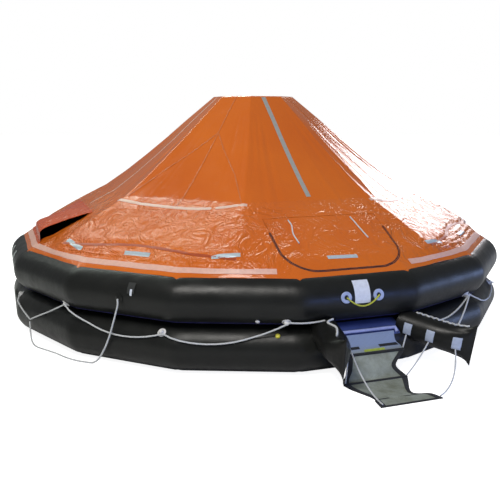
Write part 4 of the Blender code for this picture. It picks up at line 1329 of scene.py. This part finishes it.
def buildCylinder():
    azimuth, half = cylinder["azimuth"], cylinder["length"] / 2
    seat = tubeSeat(azimuth, raft["lowerZ"], -22.5, cylinder["radius"] + cylinder["strapThickness"] + 0.0003)
    place = Matrix((Vector((0, 0, 1)), outward(azimuth), along(azimuth))).transposed().to_4x4()
    place.translation = seat.translation
    radius = cylinder["radius"] - 0.0004
    shell = ((0, -half), (0.03, -half), (0.045, 0.006 - half), (0.072, 0.03 - half), (radius - 0.003, 0.07 - half),
             (radius, 0.1 - half), (radius, half - 0.14), (radius - 0.004, half - 0.11), (0.066, half - 0.06),
             (0.034, half - 0.035), (0.0275, half - 0.03), (0, half - 0.03))
    newPiece("gasCylinder", spinMesh(shell, place, 48), paintedSteel, "painted_steel", stands=["gas_cylinder"],
             sharpAngle=30)
    head = ((0, half - 0.031), (0.0275, half - 0.031), (0.0275, half + 0.03), (0.0255, half + 0.034),
            (0.0275, half + 0.04), (0.0275, half + 0.066), (0.023, half + 0.0695), (0, half + 0.0695))
    newPiece("cylinderValve", spinMesh(head, place, 24), valveBrass, "painted_steel", sharpAngle=30)
    outer = cylinder["radius"] + cylinder["strapThickness"] - 0.0004
    inner = cylinder["radius"] + 0.0006
    width = cylinder["strap"] / 2
    for index, level in enumerate(cylinder["levels"]):
        band = ((inner, level - width), (outer, level - width), (outer, level + width), (inner, level + width),
                (inner, level - width))
        newPiece(f"cylinderStrap{index + 1}", spinMesh(band, place, 48), blackWeb, "black_webbing",
                 stands=[f"cylinder_strap_{index + 1}"], sharpAngle=30)


buildBridles()
buildCards()
buildValves()
buildCylinder()
print("fittings made")


# Webbing ladders below the side openings
sideLadder = {"half": 0.18, "strap": 0.045, "thickness": 0.0036, "rungs": (0.06, 0.28, 0.50), "rung": 0.05,
              "reach": 0.2255, "head": 40, "foot": 0.03, "steps": 60}


def buildSideLadders():
    reach = sideLadder["reach"] + sideLadder["thickness"]
    flat = []
    for rise in (sideLadder["head"], 30, 20, 10, 0):
        angle = math.radians(rise)
        flat.append(Vector((raft["apothem"] + reach * math.cos(angle), raft["upperZ"] + reach * math.sin(angle), 0)))
    face = flat[-1].x
    flat.append(Vector((face, sideLadder["foot"], 0)))
    steps = sideLadder["steps"]
    route = evenRoute(flat, steps)
    for name, azimuth in (("left", -90), ("right", 90)):
        out = outward(azimuth)
        sideways = along(azimuth)
        for side in (-1, 1):
            def place(u, v):
                spot = route[round(u * steps)]
                shift = side * sideLadder["half"] + (v - 0.5) * sideLadder["strap"]
                return out * spot.x + sideways * shift + Vector((0, 0, spot.y))

            bm = thicken(gridMesh(steps, 2, place, (0.85, sideLadder["strap"])), sideLadder["thickness"])
            newPiece(f"sideLadder{name.title()}{side + 2}", bm, paleWeb, "yellow_webbing",
                     stands=[f"side_ladder_{name}"])
        half = sideLadder["half"] + sideLadder["strap"] / 2 - 0.002
        for index, level in enumerate(sideLadder["rungs"]):
            def place(u, v):
                slack = 0.006 * math.sin(math.pi * u)
                lift = 0.0045 + 0.0012 * math.sin(math.pi * v)
                return (out * (face + lift) + sideways * ((2 * u - 1) * half)
                        + Vector((0, 0, level + sideLadder["rung"] * v - slack)))

            bm = thicken(gridMesh(24, 6, place, (0.4, sideLadder["rung"])), sideLadder["thickness"])
            newPiece(f"sideStep{name.title()}{index + 1}", bm, yellowWeb, "yellow_webbing")


buildSideLadders()
print("side ladders made")


# Studio
studio = {
    "floor": (0.86, 0.86, 0.86), "glow": 0.9, "world": (0.80, 0.83, 0.86), "worldStrength": 0.24,
    # name, place, aim, size, power, colour
    "lights": (
        ("keyLight", (-4, -6, 8), (0, 0, 0.6), (4, 3), 520, (1, 0.97, 0.92)),
        ("rightWindow", (7.4, 5.4, 3.3), (1.2, -0.8, 1.4), (3.4, 2.4), 200, (1, 0.94, 0.97)),
        ("hallLamps", (-1, 6.0, 7.5), (-0.5, -1, 0.8), (15, 0.5), 420, (0.90, 1.0, 0.90)),
        ("blueSide", (7.5, -4.2, 0.9), (0.8, -2.4, 0.6), (6, 1.0), 125, (0.40, 0.55, 1.0)),
        ("blueFront", (3.0, -8.4, 0.9), (0, -2.8, 0.7), (4.5, 0.5), 90, (0.22, 0.36, 1.0)),
    ),
}


def softLight(name, place, aim, size, power, colour):
    data = bpy.data.lights.new(name, "AREA")
    data.shape = "RECTANGLE"
    data.size, data.size_y = size
    data.energy = power
    data.color = colour
    lamp = bpy.data.objects.new(name, data)
    lamp.location = place
    lamp.rotation_euler = (Vector(aim) - Vector(place)).to_track_quat("-Z", "Y").to_euler()
    lamp.visible_camera = False
    bpy.context.scene.collection.objects.link(lamp)


def buildStudio():
    bm = bmesh.new()
    bmesh.ops.create_circle(bm, cap_ends=True, segments=96, radius=70)
    mesh = bpy.data.meshes.new("studioFloor")
    bm.to_mesh(mesh)
    bm.free()
    finish = Finish("studioFloor", studio["floor"], 0.9, Specular_IOR_Level=0.1)
    finish.shader.inputs["Emission Color"].default_value = (1, 1, 1, 1)
    seen = finish.add("ShaderNodeLightPath").outputs["Is Camera Ray"]
    finish.link(finish.math("MULTIPLY", seen, studio["glow"]), finish.shader.inputs["Emission Strength"])
    mesh.materials.append(finish.material)
    floor = bpy.data.objects.new("studioFloor", mesh)
    bpy.context.scene.collection.objects.link(floor)
    world = bpy.data.worlds.new("studio")
    world.use_nodes = True
    nodes = world.node_tree.nodes
    links = world.node_tree.links
    background = nodes["Background"]
    background.inputs["Color"].default_value = (*studio["world"], 1)
    background.inputs["Strength"].default_value = studio["worldStrength"]
    clear = nodes.new("ShaderNodeBackground")
    clear.inputs["Color"].default_value = (1, 1, 1, 1)
    share = nodes.new("ShaderNodeMixShader")
    path = nodes.new("ShaderNodeLightPath")
    links.new(path.outputs["Is Camera Ray"], share.inputs["Fac"])
    links.new(background.outputs["Background"], share.inputs[1])
    links.new(clear.outputs["Background"], share.inputs[2])
    links.new(share.outputs["Shader"], nodes["World Output"].inputs["Surface"])
    bpy.context.scene.world = world
    for light in studio["lights"]:
        softLight(*light)
    bpy.context.scene.view_settings.view_transform = "Standard"


buildStudio()
print("studio set")
